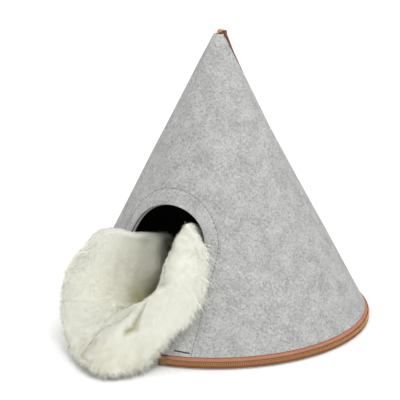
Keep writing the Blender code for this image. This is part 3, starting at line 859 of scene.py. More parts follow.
def band_section(rows, count, thickness):
    """A closed section round a path of (height, radius) rows in mm, thinner at its two edges."""
    path, where = even_steps(rounded_rows([(r * MM, z * MM) for z, r in rows], TAPE_CORNER_CUT), count)
    side = -right_of(unit(np.gradient(path, axis=0))) * thickness / 2
    reach = np.ones(count)
    reach[0] = reach[-1] = TAPE_EDGE_SHARE
    outer = path + side * reach[:, None]
    inner = path - side * reach[:, None]
    return np.concatenate([outer, inner[::-1]]), np.concatenate([where, where[::-1]])


def ring_faces(rings, size):
    """Faces between closed rings of points, and a fan over each end."""
    faces = []
    for i in range(rings - 1):
        for k in range(size):
            n = (k + 1) % size
            faces.append((i * size + k, i * size + n, (i + 1) * size + n, (i + 1) * size + k))
    faces.append(tuple(range(size))[::-1])
    faces.append(tuple((rings - 1) * size + k for k in range(size)))
    return faces


def swept_band(name, rows, count, thickness, material):
    section, across = band_section(rows, count, thickness)
    points, flat = [], []
    for angle in np.linspace(ZIP_START, ZIP_END, ZIP_STEPS + 1):
        points += [(r * math.sin(angle), -r * math.cos(angle), z) for r, z in section]
        flat += [(angle * FOOT_RADIUS, v) for v in across]
    return plain_mesh(name, points, ring_faces(ZIP_STEPS + 1, len(section)), material, np.array(flat))


print("band tools ready")

# %% [markdown]
# ## Woven tape
# The tapes are twill: threads cross at a slant and show as a fine rib. A wave texture on the tape's
# own pattern gives the ribs, and the fibre group adds the worn, uneven dye. The weave group has the
# thread's pitch as an input, and both tapes use it.

# %% The weave group and the tapes
THREAD_PITCH = 0.9 * MM
THREAD_SHADE = 0.35
THREAD_RELIEF = 0.25 * MM
TAPE_SIZES = (0.02, 0.003, 0.002)


def weave_group():
    tree, given, result = group_tree(
        "Slanted weave",
        "ShaderNodeTree",
        [("Place", "Vector", None), ("Pitch", "Float", 0.0009), ("Slant", "Float", 0.6)],
        [("Thread", "Float")],
    )
    parts = node(tree, "ShaderNodeSeparateXYZ", {0: given["Place"]}).outputs
    slanted = maths(tree, "MULTIPLY_ADD", parts["Y"], given["Slant"], parts["X"])
    turns = maths(tree, "MULTIPLY", maths(tree, "DIVIDE", slanted, given["Pitch"]), 2 * math.pi)
    wave = maths(tree, "MULTIPLY_ADD", maths(tree, "SINE", turns), 0.5, 0.5)
    tree.links.new(wave, result.inputs["Thread"])
    return tree


WEAVE = weave_group()


def tape_material(name, dark, light, thread):
    """Cloth with a woven rib over its fibres."""
    material = cloth_material(name, dark, light, TAPE_SIZES, 0.1, 0.0002, roughness=0.7)
    tree = material.node_tree
    shader = tree.nodes["Principled BSDF"]
    where = next(n for n in tree.nodes if n.bl_idname == "ShaderNodeUVMap").outputs["UV"]
    weave = node(tree, "ShaderNodeGroup", node_tree=WEAVE)
    weave.inputs["Pitch"].default_value = THREAD_PITCH
    tree.links.new(where, weave.inputs["Place"])
    base = shader.inputs["Base Color"].links[0].from_socket
    ribs = maths(tree, "MULTIPLY", weave.outputs["Thread"], THREAD_SHADE)
    tree.links.new(mixed(tree, ribs, base, (*thread, 1)), shader.inputs["Base Color"])
    sockets = {"Height": weave.outputs["Thread"], "Distance": THREAD_RELIEF}
    relief = node(tree, "ShaderNodeBump", sockets)
    tree.links.new(shader.inputs["Normal"].links[0].from_socket, relief.inputs["Normal"])
    tree.links.new(relief.outputs["Normal"], shader.inputs["Normal"])
    return material


tan_tape = tape_material("tan_tape", (0.36, 0.152, 0.092), (0.50, 0.23, 0.145), (0.30, 0.10, 0.05))
brown_tape = tape_material("brown_tape", (0.18, 0.065, 0.028), (0.27, 0.105, 0.045), (0.14, 0.05, 0.02))
zip_upper = swept_band("zip_upper", UPPER_TAPE, 11, TAPE, tan_tape)
zip_lower = swept_band("zip_lower", LOWER_TAPE, 6, TAPE, brown_tape)
print("tapes: %d and %d triangles" % (triangle_count(zip_upper), triangle_count(zip_lower)))

# %% [markdown]
# ## One tree for all that repeats in a row
# Zip teeth and stitches are one small shape set many times along a line. The tree takes a mesh of
# loose points that know which way the line runs and which way is out. It sets one low bead on each,
# turned that way, with a little seeded change of size, and turns the result into real mesh.

# %% The row tree


def row_tree():
    tree, given, result = group_tree(
        "Beads in a row",
        "GeometryNodeTree",
        [
            ("Points", "Geometry", None),
            ("Length", "Float", 0.004),
            ("Width", "Float", 0.001),
            ("Height", "Float", 0.001),
            ("Sides", "Int", 6),
            ("Rings", "Int", 4),
            ("Slant", "Float", 0.0),
            ("Uneven", "Float", 0.1),
            ("Seed", "Int", 1),
            ("Finish", "Material", None),
        ],
        [("Beads", "Geometry")],
    )
    bead_sockets = {"Segments": given["Sides"], "Rings": given["Rings"], "Radius": 0.5}
    bead = node(tree, "GeometryNodeMeshUVSphere", bead_sockets)
    size = node(tree, "ShaderNodeCombineXYZ", {0: given["Width"], 1: given["Height"], 2: given["Length"]})
    shaped = node(tree, "GeometryNodeTransform", {"Geometry": bead.outputs["Mesh"], "Scale": size.outputs[0]})
    along = node(tree, "GeometryNodeInputNamedAttribute", {"Name": "along"}, data_type="FLOAT_VECTOR")
    out = node(tree, "GeometryNodeInputNamedAttribute", {"Name": "out"}, data_type="FLOAT_VECTOR")
    way = {"Primary Axis": along.outputs["Attribute"], "Secondary Axis": out.outputs["Attribute"]}
    turn = node(tree, "FunctionNodeAxesToRotation", way, primary_axis="Z", secondary_axis="Y")
    tilt = node(tree, "ShaderNodeCombineXYZ", {1: given["Slant"]})
    sockets = {0: turn.outputs[0], 1: tilt.outputs[0]}
    tilted = node(tree, "FunctionNodeRotateRotation", sockets, rotation_space="LOCAL")
    least = maths(tree, "SUBTRACT", 1.0, given["Uneven"])
    most = maths(tree, "ADD", 1.0, given["Uneven"])
    sockets = {2: least, 3: most, "Seed": given["Seed"]}
    spread = node(tree, "FunctionNodeRandomValue", sockets, data_type="FLOAT")
    sockets = {
        "Points": given["Points"],
        "Instance": shaped.outputs[0],
        "Rotation": tilted.outputs[0],
        "Scale": spread.outputs[1],
    }
    placed = node(tree, "GeometryNodeInstanceOnPoints", sockets)
    real = node(tree, "GeometryNodeRealizeInstances", {"Geometry": placed.outputs[0]})
    smooth = node(tree, "GeometryNodeSetShadeSmooth", {"Geometry": real.outputs[0]})
    made = node(tree, "GeometryNodeSetMaterial", {"Geometry": smooth.outputs[0], "Material": given["Finish"]})
    tree.links.new(made.outputs[0], result.inputs["Beads"])
    return tree


ROWS = row_tree()


def run_tree(piece, tree, values):
    """Runs a Geometry Nodes tree on a piece, with its inputs set by name, and keeps the plain mesh."""

    def set_up(target):
        modifier = target.modifiers.new("nodes", "NODES")
        modifier.node_group = tree
        for item in tree.interface.items_tree:
            if item.in_out == "INPUT" and item.name in values:
                modifier[item.identifier] = values[item.name]

    return baked(piece, set_up)


def beads(name, places, along, out, material, **sizes):
    """Beads on points. along and out are each point's two directions."""
    mesh = bpy.data.meshes.new(name)
    mesh.from_pydata([tuple(p) for p in places], [], [])
    for label, values in (("along", along), ("out", out)):
        data = np.asarray(values, np.float32).ravel()
        mesh.attributes.new(label, "FLOAT_VECTOR", "POINT").data.foreach_set("vector", data)
    return run_tree(in_scene(name, mesh), ROWS, {**sizes, "Finish": material})


def joined(name, pieces):
    """Several mesh objects as one piece."""
    shape = bmesh.new()
    materials = []
    for piece in pieces:
        for material in piece.data.materials:
            if material not in materials:
                materials.append(material)
    for piece in pieces:
        start = len(shape.faces)
        shape.from_mesh(piece.data)
        shape.faces.ensure_lookup_table()
        slots = [materials.index(m) for m in piece.data.materials]
        for face in shape.faces[start:]:
            face.material_index = slots[face.material_index] if slots else 0
    mesh = bpy.data.meshes.new(name)
    shape.to_mesh(mesh)
    shape.free()
    for material in materials:
        mesh.materials.append(material)
    made = in_scene(name, mesh)
    for piece in pieces:
        bpy.data.objects.remove(piece)
    return made


row_inputs = [item.name for item in ROWS.interface.items_tree if item.in_out == "INPUT"]
print("row tree ready, with inputs:", ", ".join(row_inputs))

# %% [markdown]
# ## The zip's teeth
# A coil zip has no separate teeth but two spirals whose turns lock together. From outside each turn
# is a short bead across the tape, and the two rows lean against each other as a row of arrows. The
# ground under them is dark, so gaps read as the dotted line that a closed zip shows.

# %% The zip's teeth
TEETH_PATH = ((10.9, 238.0), (9.3, 238.7), (7.7, 239.1))
TEETH_PITCH = 3.3 * MM
TEETH_PROUD = 0.75 * MM
TEETH_LEAN = 0.18
TOOTH_SIZES = {"Length": 3.0 * MM, "Width": 1.7 * MM, "Height": 1.3 * MM, "Sides": 6, "Rings": 5}
WEAR_RELIEF = 0.1 * MM


def worn_gloss(name, base, dark, roughness, size, metallic=0.0):
    """Thread, plastic or metal with slight wear: colour and roughness change in small patches."""
    material, tree, shader = new_material(name)
    shader.inputs["Metallic"].default_value = metallic
    where = node(tree, "ShaderNodeTexCoord").outputs["Object"]
    sockets = {"Vector": where, "Scale": 1 / size, "Detail": 3.0}
    patches = node(tree, "ShaderNodeTexNoise", sockets).outputs["Fac"]
    share = maths(tree, "MULTIPLY_ADD", patches, 2.0, -0.5, clamp=True)
    tree.links.new(mixed(tree, share, (*dark, 1), (*base, 1)), shader.inputs["Base Color"])
    rough = maths(tree, "MULTIPLY_ADD", patches, 0.3, roughness - 0.15, clamp=True)
    tree.links.new(rough, shader.inputs["Roughness"])
    relief = node(tree, "ShaderNodeBump", {"Height": patches, "Distance": WEAR_RELIEF})
    tree.links.new(relief.outputs["Normal"], shader.inputs["Normal"])
    return material


coil_ground = worn_gloss("coil_ground", (0.07, 0.025, 0.01), (0.04, 0.014, 0.006), 0.7, 0.004)
coil_gold = worn_gloss("coil_gold", (0.62, 0.31, 0.10), (0.48, 0.21, 0.065), 0.45, 0.003)


def teeth_row(name, height, offset, slant):
    """One spiral's visible turns, as beads across the tape."""
    z, r = np.array(TEETH_PATH).T * MM
    radius = np.interp(height, z[::-1], r[::-1]) + TEETH_PROUD
    count = int((ZIP_END - ZIP_START) * radius / TEETH_PITCH)
    angles = ZIP_START + (np.arange(2, count - 2) + offset) * TEETH_PITCH / radius
    places = round_places(radius, angles, height)
    along = round_places(-TEETH_LEAN, angles, 1.0)
    out = round_places(1.0, angles, TEETH_LEAN)
    return beads(name, places, along, out, coil_gold, Slant=slant, Uneven=0.06, Seed=3, **TOOTH_SIZES)


zip_ground = swept_band("zip_ground", TEETH_PATH, 5, 1.3 * MM, coil_ground)
upper_teeth = teeth_row("upper_teeth", 10.5 * MM, 0.0, 0.5)
lower_teeth = teeth_row("lower_teeth", 8.2 * MM, 0.12, -0.5)
zip_coil = joined("zip_coil", [zip_ground, upper_teeth, lower_teeth])
print("zip coil: %d triangles" % triangle_count(zip_coil))

# %% [markdown]
# ## Stitches
# Two seams show: the arch round the doorway and the lap up the back. A short near-black bar by the
# zip's end is painted shade: it stands for a dark line of shade in a gap in the felt. A line's flat
# points are rolled up with the felt, so each stitch sits in its groove. Dark thread sunk in felt
# shows as short dashes.

# %% The stitches
DOOR_STITCH = 5.4 * MM
SEAM_STITCH = 5.0 * MM
SEAM_STITCH_TOP = 60 * MM
SEAM_STITCH_FOOT = 8 * MM
SEAM_ROWS = (4 * MM, 20 * MM)
THREAD_PROUD = 0.1 * MM
WALL_SLANT = (POINT_HEIGHT - HEM_HEIGHT) / math.cos(LEAN)
dark_thread = worn_gloss("dark_thread", (0.16, 0.155, 0.15), (0.07, 0.068, 0.065), 0.8, 0.002)
bar_thread = worn_gloss("bar_thread", (0.05, 0.04, 0.035), (0.02, 0.017, 0.015), 0.8, 0.002)
tan_thread = worn_gloss("tan_thread", (0.62, 0.38, 0.13), (0.45, 0.24, 0.08), 0.7, 0.002)


def felt_stitches(name, flat, proud, material, **sizes):
    """Stitches along a flat line, set on the wall's outer face."""
    places = rolled(flat, np.full(len(flat), -proud), wall_relief(flat))
    along = unit(np.gradient(places, axis=0))
    angle, _ = angle_and_height(flat)
    out = round_places(math.cos(LEAN), angle, math.sin(LEAN))
    return beads(name, places, along, out, material, **sizes)


def seam_line(aside, step):
    """A line up the lap, set in by some way from the wall's outer end."""
    tip_slant = (POINT_HEIGHT - WALL_TOP) / math.cos(LEAN)
    slants = np.arange(tip_slant + SEAM_STITCH_TOP, WALL_SLANT - SEAM_STITCH_FOOT, step)
    z = POINT_HEIGHT - slants * math.cos(LEAN)
    angle = SEAM_ANGLE + lap_half_angle(z) - aside / cone_radius(z)
    return flat_place(angle, z)


stitch_sizes = {"Length": 4.8 * MM, "Width": 1.1 * MM, "Height": 0.9 * MM, "Uneven": 0.15, "Seed": 7}
door_line = stitch_line(DOOR_STITCH)
door_stitches = felt_stitches("door_stitches", door_line, THREAD_PROUD, dark_thread, **stitch_sizes)
seam_stitches = [
    felt_stitches("seam_%d" % i, seam_line(aside, SEAM_STITCH), THREAD_PROUD, dark_thread, **stitch_sizes)
    for i, aside in enumerate(SEAM_ROWS)
]
# Painted shade: a row of near-black stitches that stands for the dark line of shade in a gap in the felt. The
# same near-black thread also makes the real dark stitches at the zip's end.
BAR_STITCHES = 12
BAR_ANGLES, BAR_HEIGHTS = (16.6, 21.9), (23.4, 21.4)
bar_angles = np.radians(np.linspace(*BAR_ANGLES, BAR_STITCHES))
bar_flat = flat_place(bar_angles, np.linspace(*BAR_HEIGHTS, BAR_STITCHES) * MM)
bar_sizes = {"Length": 3.6 * MM, "Width": 2.0 * MM, "Height": 1.3 * MM, "Uneven": 0.15, "Seed": 5}
bar_tack = felt_stitches("bar_tack", bar_flat, 0.2 * MM, bar_thread, **bar_sizes)
felt_thread = joined("felt_thread", [door_stitches, *seam_stitches, bar_tack])
print("thread on the felt: %d triangles" % triangle_count(felt_thread))

# %% [markdown]
# ## The zip's sewn end and its tape stitching
# A fine row of tan stitches runs along the lower tape, under the teeth. The zip's end by the
# doorway is closed with a few rows of gold and dark thread over all its width.

# %% The zip's stitching


def band_stitches(name, height, radius, step, start, end, material, upright=False, **sizes):
    """A row round the foot between two angles in degrees, its stitches upright or along it."""
    angles = np.arange(math.radians(start), math.radians(end), step / radius)
    places = round_places(radius, angles, height)
    round_way = np.stack([np.cos(angles), np.sin(angles), np.zeros(len(angles))], axis=1)
    out = round_places(1.0, angles, 0.0)
    along = np.tile([0.0, 0.0, 1.0], (len(angles), 1)) if upright else round_way
    return beads(name, places, along, out, material, **sizes)


END_ROWS = (
    # height and distance from the axis of each row of end stitches, in mm
    (14.4, 236.2),
    (12.2, 237.5),
    (10.2, 239.7),
    (8.0, 240.5),
    (5.6, 240.3),
)
end_sizes = {"Length": 2.6 * MM, "Width": 1.1 * MM, "Height": 0.9 * MM}
end_sizes |= {"Uneven": 0.2, "Seed": 11, "Slant": 0.5}
end_rows = []
for i, (z, r) in enumerate(END_ROWS):
    for shift, thread in ((0.0, tan_thread), (0.32, bar_thread)):
        name = "end_%d_%s" % (i, thread.name)
        row = (z * MM, r * MM, 2.7 * MM, 11.3 + shift, 15.4 - i * 0.3, thread)
        end_rows.append(band_stitches(name, *row, upright=True, **end_sizes))
top_row = (16.2 * MM, 234.6 * MM, 1.9 * MM, 11.4, 14.6, bar_thread)
end_rows.append(band_stitches("end_top", *top_row, upright=True, **end_sizes))
tape_row = {"Length": 2.2 * MM, "Width": 0.5 * MM, "Height": 0.5 * MM, "Uneven": 0.1, "Seed": 13}
lower_row = band_stitches("lower_row", 6.4 * MM, 240.05 * MM, 3.2 * MM, 12, 307, tan_thread, **tape_row)
zip_thread = joined("zip_thread", [*end_rows, lower_row])
print("zip thread: %d triangles" % triangle_count(zip_thread))

# %% [markdown]
# ## The leather strap at the tip
# One strap comes out of the cone's mouth, bends over in a small bow and runs down the back seam,
# where it is stitched flat. Its path is the solid's own. Its section is a flat strip with rounded,
# darker edges, so that the cut edge reads as burnished leather.

# %% The strap's path
STRAP_WIDTH = 16 * MM
STRAP = 2.0 * MM
STRAP_GAP = 0.5 * MM
STRAP_FOOT = 385 * MM
STRAP_CORNER_CUT = 0.25
STRAP_BOW = (
    # out from the tip's middle, up from the wall's top, and width, in mm
    (0, -7, 4),
    (0.2, 0.4, 4),
    (3, 3.2, 10),
    (6.6, 5.2, 15),
    (10, 5.4, 16),
    (12, 3.6, 16),
)


def strap_path(count):
    """Even steps along the strap's middle: out from the axis, height and width, and the run so far."""
    rows = [(BEND + out * MM, WALL_TOP + up * MM, width * MM) for out, up, width in STRAP_BOW]
    for z in np.linspace(WALL_TOP, STRAP_FOOT, 13):
        over_lap = felt_level(z) + LAP_LOOSENESS + STRAP_GAP + STRAP / 2
        rows.append((cone_radius(z) + over_lap + BEND * flared(z), z, STRAP_WIDTH))
    return even_steps(rounded_rows(rows, STRAP_CORNER_CUT), count)


strap_rows, strap_runs = strap_path(110)
print("strap length %.0f mm" % (strap_runs[-1] / MM))

# %% The strap
STITCH_INSET = 2.2 * MM
STITCH_SINK = 0.22 * MM
SINK_WIDTH = 0.7 * MM
SINK_FROM_WIDTH = 12 * MM
BURNISHED = 0.9 * MM
EDGE_TURNS = (0.5, 1.1, 1.57, 2.04, 2.64)
SEAM_SIDE = np.array([-SEAM_WAY[1], SEAM_WAY[0], 0])
LEATHER_GLOSS = 0.35
GRAIN_SCALE = 1400.0
DYE_SCALE = 220.0


def strip_section(width, thickness):
    """A strip's closed section: sideways, outward, and how near the cut edge, from 0 to 1."""
    half = width / 2 - thickness / 2
    top = [(x * half, thickness / 2) for x in np.linspace(-1, 1, 13)]
    right = [(half + thickness / 2 * math.sin(t), thickness / 2 * math.cos(t)) for t in EDGE_TURNS]
    places = np.array(top + right + [(-x, -y) for x, y in top] + [(-x, -y) for x, y in right])
    to_stitch = np.abs(np.abs(places[:, 0]) - (width / 2 - STITCH_INSET))
    sunk = STITCH_SINK * falloff(to_stitch, SINK_WIDTH) * (width > SINK_FROM_WIDTH)
    edge = np.clip(1 - (width / 2 - np.abs(places[:, 0])) / BURNISHED, 0, 1)
    places[:, 1] -= np.sign(places[:, 1]) * sunk
    return places, edge


def along_strap(rows):
    """Each step's outward normal and its way on, in the strap's own plane of out and up."""
    way = unit(np.gradient(rows[:, :2], axis=0))
    return -right_of(way), way


def in_space(out, up, sideways):
    """Out, up and sideways numbers of the seam's plane, as places in space."""
    return np.outer(out, SEAM_WAY) + np.outer(sideways, SEAM_SIDE) + np.outer(up, [0, 0, 1])


def make_strap(material):
    normal, _ = along_strap(strap_rows)
    points, flat, edges = [], [], []
    for (out, up, width), (n_out, n_up), run in zip(strap_rows, normal, strap_runs):
        section, edge = strip_section(width, STRAP)
        points.append(in_space(out + n_out * section[:, 1], up + n_up * section[:, 1], section[:, 0]))
        flat.append(np.stack([np.full(len(section), run), section[:, 0]], axis=1))
        edges.append(edge)
    edges[0][:] = edges[-1][:] = 1
    faces = ring_faces(len(points), len(points[0]))
    points, flat, edges = (np.concatenate(parts) for parts in (points, flat, edges))
    return plain_mesh("strap", points, faces, material, flat, edges)


def leather_material(name, dark, light, edge):
    """Smooth leather: pebbled grain, cloudy dye, and a dark burnished edge where "inside" is 1."""
    material, tree, shader = new_material(name)
    shader.inputs["Specular IOR Level"].default_value = LEATHER_GLOSS
    where = node(tree, "ShaderNodeUVMap", uv_map="flat").outputs["UV"]
    sockets = {"Vector": where, "Scale": GRAIN_SCALE}
    grain = node(tree, "ShaderNodeTexVoronoi", sockets, feature="DISTANCE_TO_EDGE")
    grain = maths(tree, "MULTIPLY", grain.outputs["Distance"], 3.0, clamp=True)
    sockets = {"Vector": where, "Scale": DYE_SCALE, "Detail": 4.0}
    dye = node(tree, "ShaderNodeTexNoise", sockets).outputs["Fac"]
    share = maths(tree, "MULTIPLY_ADD", dye, 2.0, -0.5, clamp=True)
    colour = mixed(tree, share, (*dark, 1), (*light, 1))
    mask = node(tree, "ShaderNodeAttribute", attribute_name="inside").outputs["Fac"]
    colour = mixed(tree, mask, colour, (*edge, 1))
    tree.links.new(colour, shader.inputs["Base Color"])
    tree.links.new(maths(tree, "MULTIPLY_ADD", dye, 0.25, 0.38), shader.inputs["Roughness"])
    relief = node(tree, "ShaderNodeBump", {"Height": grain, "Distance": 0.0001})
    tree.links.new(relief.outputs["Normal"], shader.inputs["Normal"])
    return material


tan_leather = leather_material("tan_leather", (0.33, 0.125, 0.05), (0.52, 0.24, 0.11), (0.14, 0.055, 0.025))
strap = make_strap(tan_leather)
print("strap: %d triangles" % triangle_count(strap))

# %% The strap's stitching
THREAD_SUNK = 0.1 * MM
STRAP_STITCH_FROM = 30 * MM
STRAP_STITCH_STOP = 2 * MM
STRAP_STITCH = 3.4 * MM


def strap_stitches(side):
    """A row along one edge of the strap, from where it lies flat to its foot."""
    normal, way = along_strap(strap_rows)
    runs = np.arange(STRAP_STITCH_FROM, strap_runs[-1] - STRAP_STITCH_STOP, STRAP_STITCH)
    columns = [np.interp(runs, strap_runs, v) for v in (*strap_rows.T, *normal.T, *way.T)]
    out, up, width, n_out, n_up, w_out, w_up = columns
    lift = STRAP / 2 - THREAD_SUNK
    places = in_space(out + n_out * lift, up + n_up * lift, side * (width / 2 - STITCH_INSET))
    still = np.zeros(len(runs))
    sizes = {"Length": 2.5 * MM, "Width": 0.7 * MM, "Height": 0.7 * MM, "Uneven": 0.1, "Seed": 17}
    along, out = in_space(w_out, w_up, still), in_space(n_out, n_up, still)
    return beads("strap_row", places, along, out, tan_thread, **sizes)


strap_thread = joined("strap_thread", [strap_stitches(-1), strap_stitches(1)])
print("strap thread: %d triangles" % triangle_count(strap_thread))

# %% [markdown]
# ## The slider and its pull
# A slider is a small cast shell with a bridge on its face, and the pull hangs from the bridge. Both
# are cast in outline, so each is a stack of outlines at rising depths, a little smaller at the first
# and the last, which gives the soft cast edge.

# %% The slider and its pull
SLIDER_ANGLE = math.radians(305)
SLIDER_FACE = 240.5 * MM
SLIDER_HEIGHT = 10 * MM
BRIDGE_DROP = 4 * MM
BRIDGE_FOOT, BRIDGE_RISE = 2.9 * MM, 2.2 * MM
BRIDGE_HALF, BRIDGE_WIRE = 2.6 * MM, 0.55 * MM
PULL_HEIGHT = 14 * MM
# Each plate's layers: how far out each stands and how far it is drawn in, in mm. The hole widens
# by this share of itself for each mm that the outline is drawn in.
HOLE_SPREAD = 0.5
PLATE_LAYERS = ((0, 0.5), (0.4, 0.1), (0.7, 0), (2.3, 0), (2.8, 0.3), (3.0, 0.9))
PULL_LAYERS = ((3.9, 0.35), (4.1, 0.08), (4.3, 0), (4.9, 0), (5.1, 0.08), (5.3, 0.35))


def rounded_outline(low_width, high_width, height, corner, count=5):
    """A four-sided outline with round corners, wider or narrower towards its top."""
    points = []
    for turn, (sx, sz) in enumerate(((1, -1), (1, 1), (-1, 1), (-1, -1))):
        half = (high_width if sz > 0 else low_width) / 2
        centre = np.array([sx * (half - corner), sz * (height / 2 - corner)])
        for t in np.linspace(-math.pi / 2, 0, count) + turn * math.pi / 2:
            points.append(centre + corner * np.array([math.cos(t), math.sin(t)]))
    return np.array(points)


def cast(outline, hole, layers):
    """Points and faces of a cast plate. layers give depth and inset. A hole makes it a ring."""
    inset = [outline * (1 - 2 * cut / np.ptp(outline, axis=0)) for _, cut in layers]
    size = len(outline)
    points = [(x, depth, z) for (depth, _), ring in zip(layers, inset) for x, z in ring]
    faces = ring_faces(len(layers), size)
    if hole is None:
        return points, faces
    faces = faces[:-2]
    start = len(points)
    middle = hole.mean(axis=0)
    widened = [(depth, middle + (hole - middle) * (1 + cut / MM * HOLE_SPREAD)) for depth, cut in layers]
    points += [(x, depth, z) for depth, ring in widened for x, z in ring]
    for i in range(len(layers) - 1):
        for k in range(size):
            n = (k + 1) % size
            a, b = start + i * size, start + (i + 1) * size
            faces.append((a + n, a + k, b + k, b + n))
    last = (len(layers) - 1) * size
    for k in range(size):
        n = (k + 1) % size
        faces.append((k, start + k, start + n, n))
        faces.append((last + n, start + last + n, start + last + k, last + k))
    return points, faces


def set_at_slider(points, height):
    """Local places (along the zip, outward, up) as places in space at the slider."""
    spots = np.array(points)
    out = np.array([math.sin(SLIDER_ANGLE), -math.cos(SLIDER_ANGLE), 0])
    side = np.array([math.cos(SLIDER_ANGLE), math.sin(SLIDER_ANGLE), 0])
    places = np.outer(spots[:, 0], side) + np.outer(spots[:, 1] + SLIDER_FACE, out)
    places[:, 2] += spots[:, 2] + height
    return places


def bridge_points(steps=14, sides=8):
    """A bent wire over the slider's face, from its upper to its lower end."""
    points = []
    for t in np.linspace(0, math.pi, steps):
        centre = np.array([0, BRIDGE_FOOT + BRIDGE_RISE * math.sin(t), -BRIDGE_HALF * math.cos(t)])
        off = np.array([0, math.sin(t), -math.cos(t)])
        for s in np.linspace(0, 2 * math.pi, sides, endpoint=False):
            points.append(centre + BRIDGE_WIRE * (off * math.cos(s) + np.array([1, 0, 0]) * math.sin(s)))
    return points, ring_faces(steps, sides)


brass = worn_gloss("satin_brass", (0.66, 0.48, 0.25), (0.42, 0.29, 0.13), 0.34, 0.003, metallic=1.0)
plate_layers, pull_layers = ([(d * MM, c * MM) for d, c in rows] for rows in (PLATE_LAYERS, PULL_LAYERS))
plate = cast(rounded_outline(6.6 * MM, 9 * MM, 9 * MM, 1.8 * MM), None, plate_layers)
pull_hole = rounded_outline(2.4 * MM, 2.4 * MM, 4.4 * MM, 1.1 * MM) + np.array([0, -8.6 * MM])
tab = cast(rounded_outline(5 * MM, 3.6 * MM, 24 * MM, 1.6 * MM), pull_hole, pull_layers)
slider_parts = []
for label, (points, faces), height in (
    ("slider_plate", plate, SLIDER_HEIGHT),
    ("slider_bridge", bridge_points(), SLIDER_HEIGHT - BRIDGE_DROP),
):
    slider_parts.append(plain_mesh(label, set_at_slider(points, height), faces, brass))
slider = joined("slider", slider_parts)
pull = plain_mesh("pull", set_at_slider(tab[0], PULL_HEIGHT), tab[1], brass)
print("slider and pull: %d and %d triangles" % (triangle_count(slider), triangle_count(pull)))

# %% [markdown]
# ## The fleece mat's body
# Fleece is a backing with a deep pile. Its body carries the folds, so it starts from the solid mat:
# a copy is merged and given even, small faces by a voxel remesh, which suits a form with no corners.
# Smoothing takes out the solid's facets. Then each crease and ridge of the real mat is drawn as a
# short line in space, and the points near it move in or out, less the further they are from it.

# %% The fleece mat's body
FLEECE_VOXEL = 2.6 * MM
PILE_HEIGHT = 2.0 * MM
EDGE_SET_IN = 0.5 * MM
LOW_EDGE_SET_IN = 8.5 * MM
LOCK_REACH = 11 * MM
LOW_FROM = 70 * MM
LOW_SPAN = 50 * MM
BODY_PASSES = 6
LOCKS = ("fleece_locks_right", "fleece_locks_left", "fleece_locks_front")
PUSHES = (
    # amount in mm, reach in mm, direction, and the line's points in mm: the mat's larger uneven forms
    (7, 18, (0.84, 0.54, -0.1), ((30, -236, 106), (36, -230, 114), (38, -222, 122))),
    (9, 13, (-0.1, 0.2, 1.0), ((12, -239, 83), (24, -240, 92), (36, -238, 99), (42, -234, 103))),
    (6, 15, (-0.62, -0.36, 0.7), ((2, -232, 78), (-14, -256, 62), (-22, -272, 48))),
    (9, 26, (0.7, -0.1, 0.6), ((-46, -130, 80), (-46, -105, 82), (-40, -150, 66))),
    (18, 32, (0.56, -0.77, 0.31), ((-48, -95, 125), (-48, -100, 98))),
    (10, 16, (-0.62, -0.36, 0.7), ((42, -150, 177), (43, -160, 171))),
    (5, 22, (0.1, 0.1, 1.0), ((-90, -188, 163), (-81, -179, 167), (-71, -173, 167))),
    (5, 26, (0.0, 0.9, 0.5), ((-70, -300, 10), (-30, -325, 8), (10, -322, 8), (40, -300, 8))),
    (7, 26, (-0.84, -0.54, 0.0), ((-108, -214, 127), (-109, -225, 110))),
)
CREASE = ((24, -252, 91), (26, -259, 82), (28, -265, 74))
DIMPLE = ((28, -265, 74), (29, -267, 70), (29, -269, 67), (25, -271, 65), (20, -276, 63))
LOW_RIGHT = ((84, -202, 80), (74, -222, 62), (60, -245, 45))
HEM = (
    *((-118, -229, 109), (-120, -239, 87), (-117, -248, 67)),
    *((-110, -259, 48), (-95, -273, 32), (-70, -292, 23)),
)
RIGHT_RIDGE = (
    *((66, -183, 153), (66, -199, 137), (63, -216, 120)),
    *((59, -229, 102), (53, -241, 84), (46, -254, 65)),
)
FOLDS = (
    # depth in mm, reach in mm, and the line's points in mm: minus is a crease, plus is a ridge
    (-3.5, 4.5, ((-32, -219, 74), (-30, -246, 63), (-39, -260, 47), (-42, -280, 37), (-42, -300, 29))),
    (-10, 6, CREASE + DIMPLE[1:]),
    (2, 9, RIGHT_RIDGE),
    (-5, 3.5, HEM),
    (-3, 18, ((-52, -171, 124), (-53, -185, 107), (-54, -209, 90), (-54, -239, 76), (-58, -254, 60))),
)


def copy_of_node(name, new_name):
    """A merged copy of a solid node, as an object of its own at the origin."""
    source = bpy.data.objects[name]
    mesh = source.data.copy()
    shape = bmesh.new()
    shape.from_mesh(mesh)
    shape.transform(source.matrix_world)
    bmesh.ops.remove_doubles(shape, verts=shape.verts, dist=0.02 * MM)
    shape.to_mesh(mesh)
    shape.free()
    return in_scene(new_name, mesh)


def remesh(piece, voxel):
    def set_up(target):
        modifier = target.modifiers.new("even", "REMESH")
        modifier.mode = "VOXEL"
        modifier.voxel_size = voxel
        modifier.use_smooth_shade = True

    return baked(piece, set_up)


def neighbours_of(mesh):
    """The two ends of every edge, for smoothing over neighbours."""
    ends = np.zeros(2 * len(mesh.edges), np.int32)
    mesh.edges.foreach_get("vertices", ends)
    return ends.reshape(-1, 2)


def vectors_of(data, field):
    """Places or directions kept by Blender, as rows of three numbers."""
    values = np.zeros(3 * len(data), np.float32)
    data.foreach_get(field, values)
    return values.reshape(-1, 3).astype(float)


def places_of(mesh):
    return vectors_of(mesh.vertices, "co")


def store(mesh, name, values, kind="FLOAT"):
    """Keeps a number or a direction on each vertex, under a name."""
    field = "vector" if kind == "FLOAT_VECTOR" else "value"
    made = mesh.attributes.new(name, kind, "POINT")
    made.data.foreach_set(field, np.asarray(values, np.float32).ravel())


def normals_of(mesh):
    return vectors_of(mesh.vertex_normals, "vector")


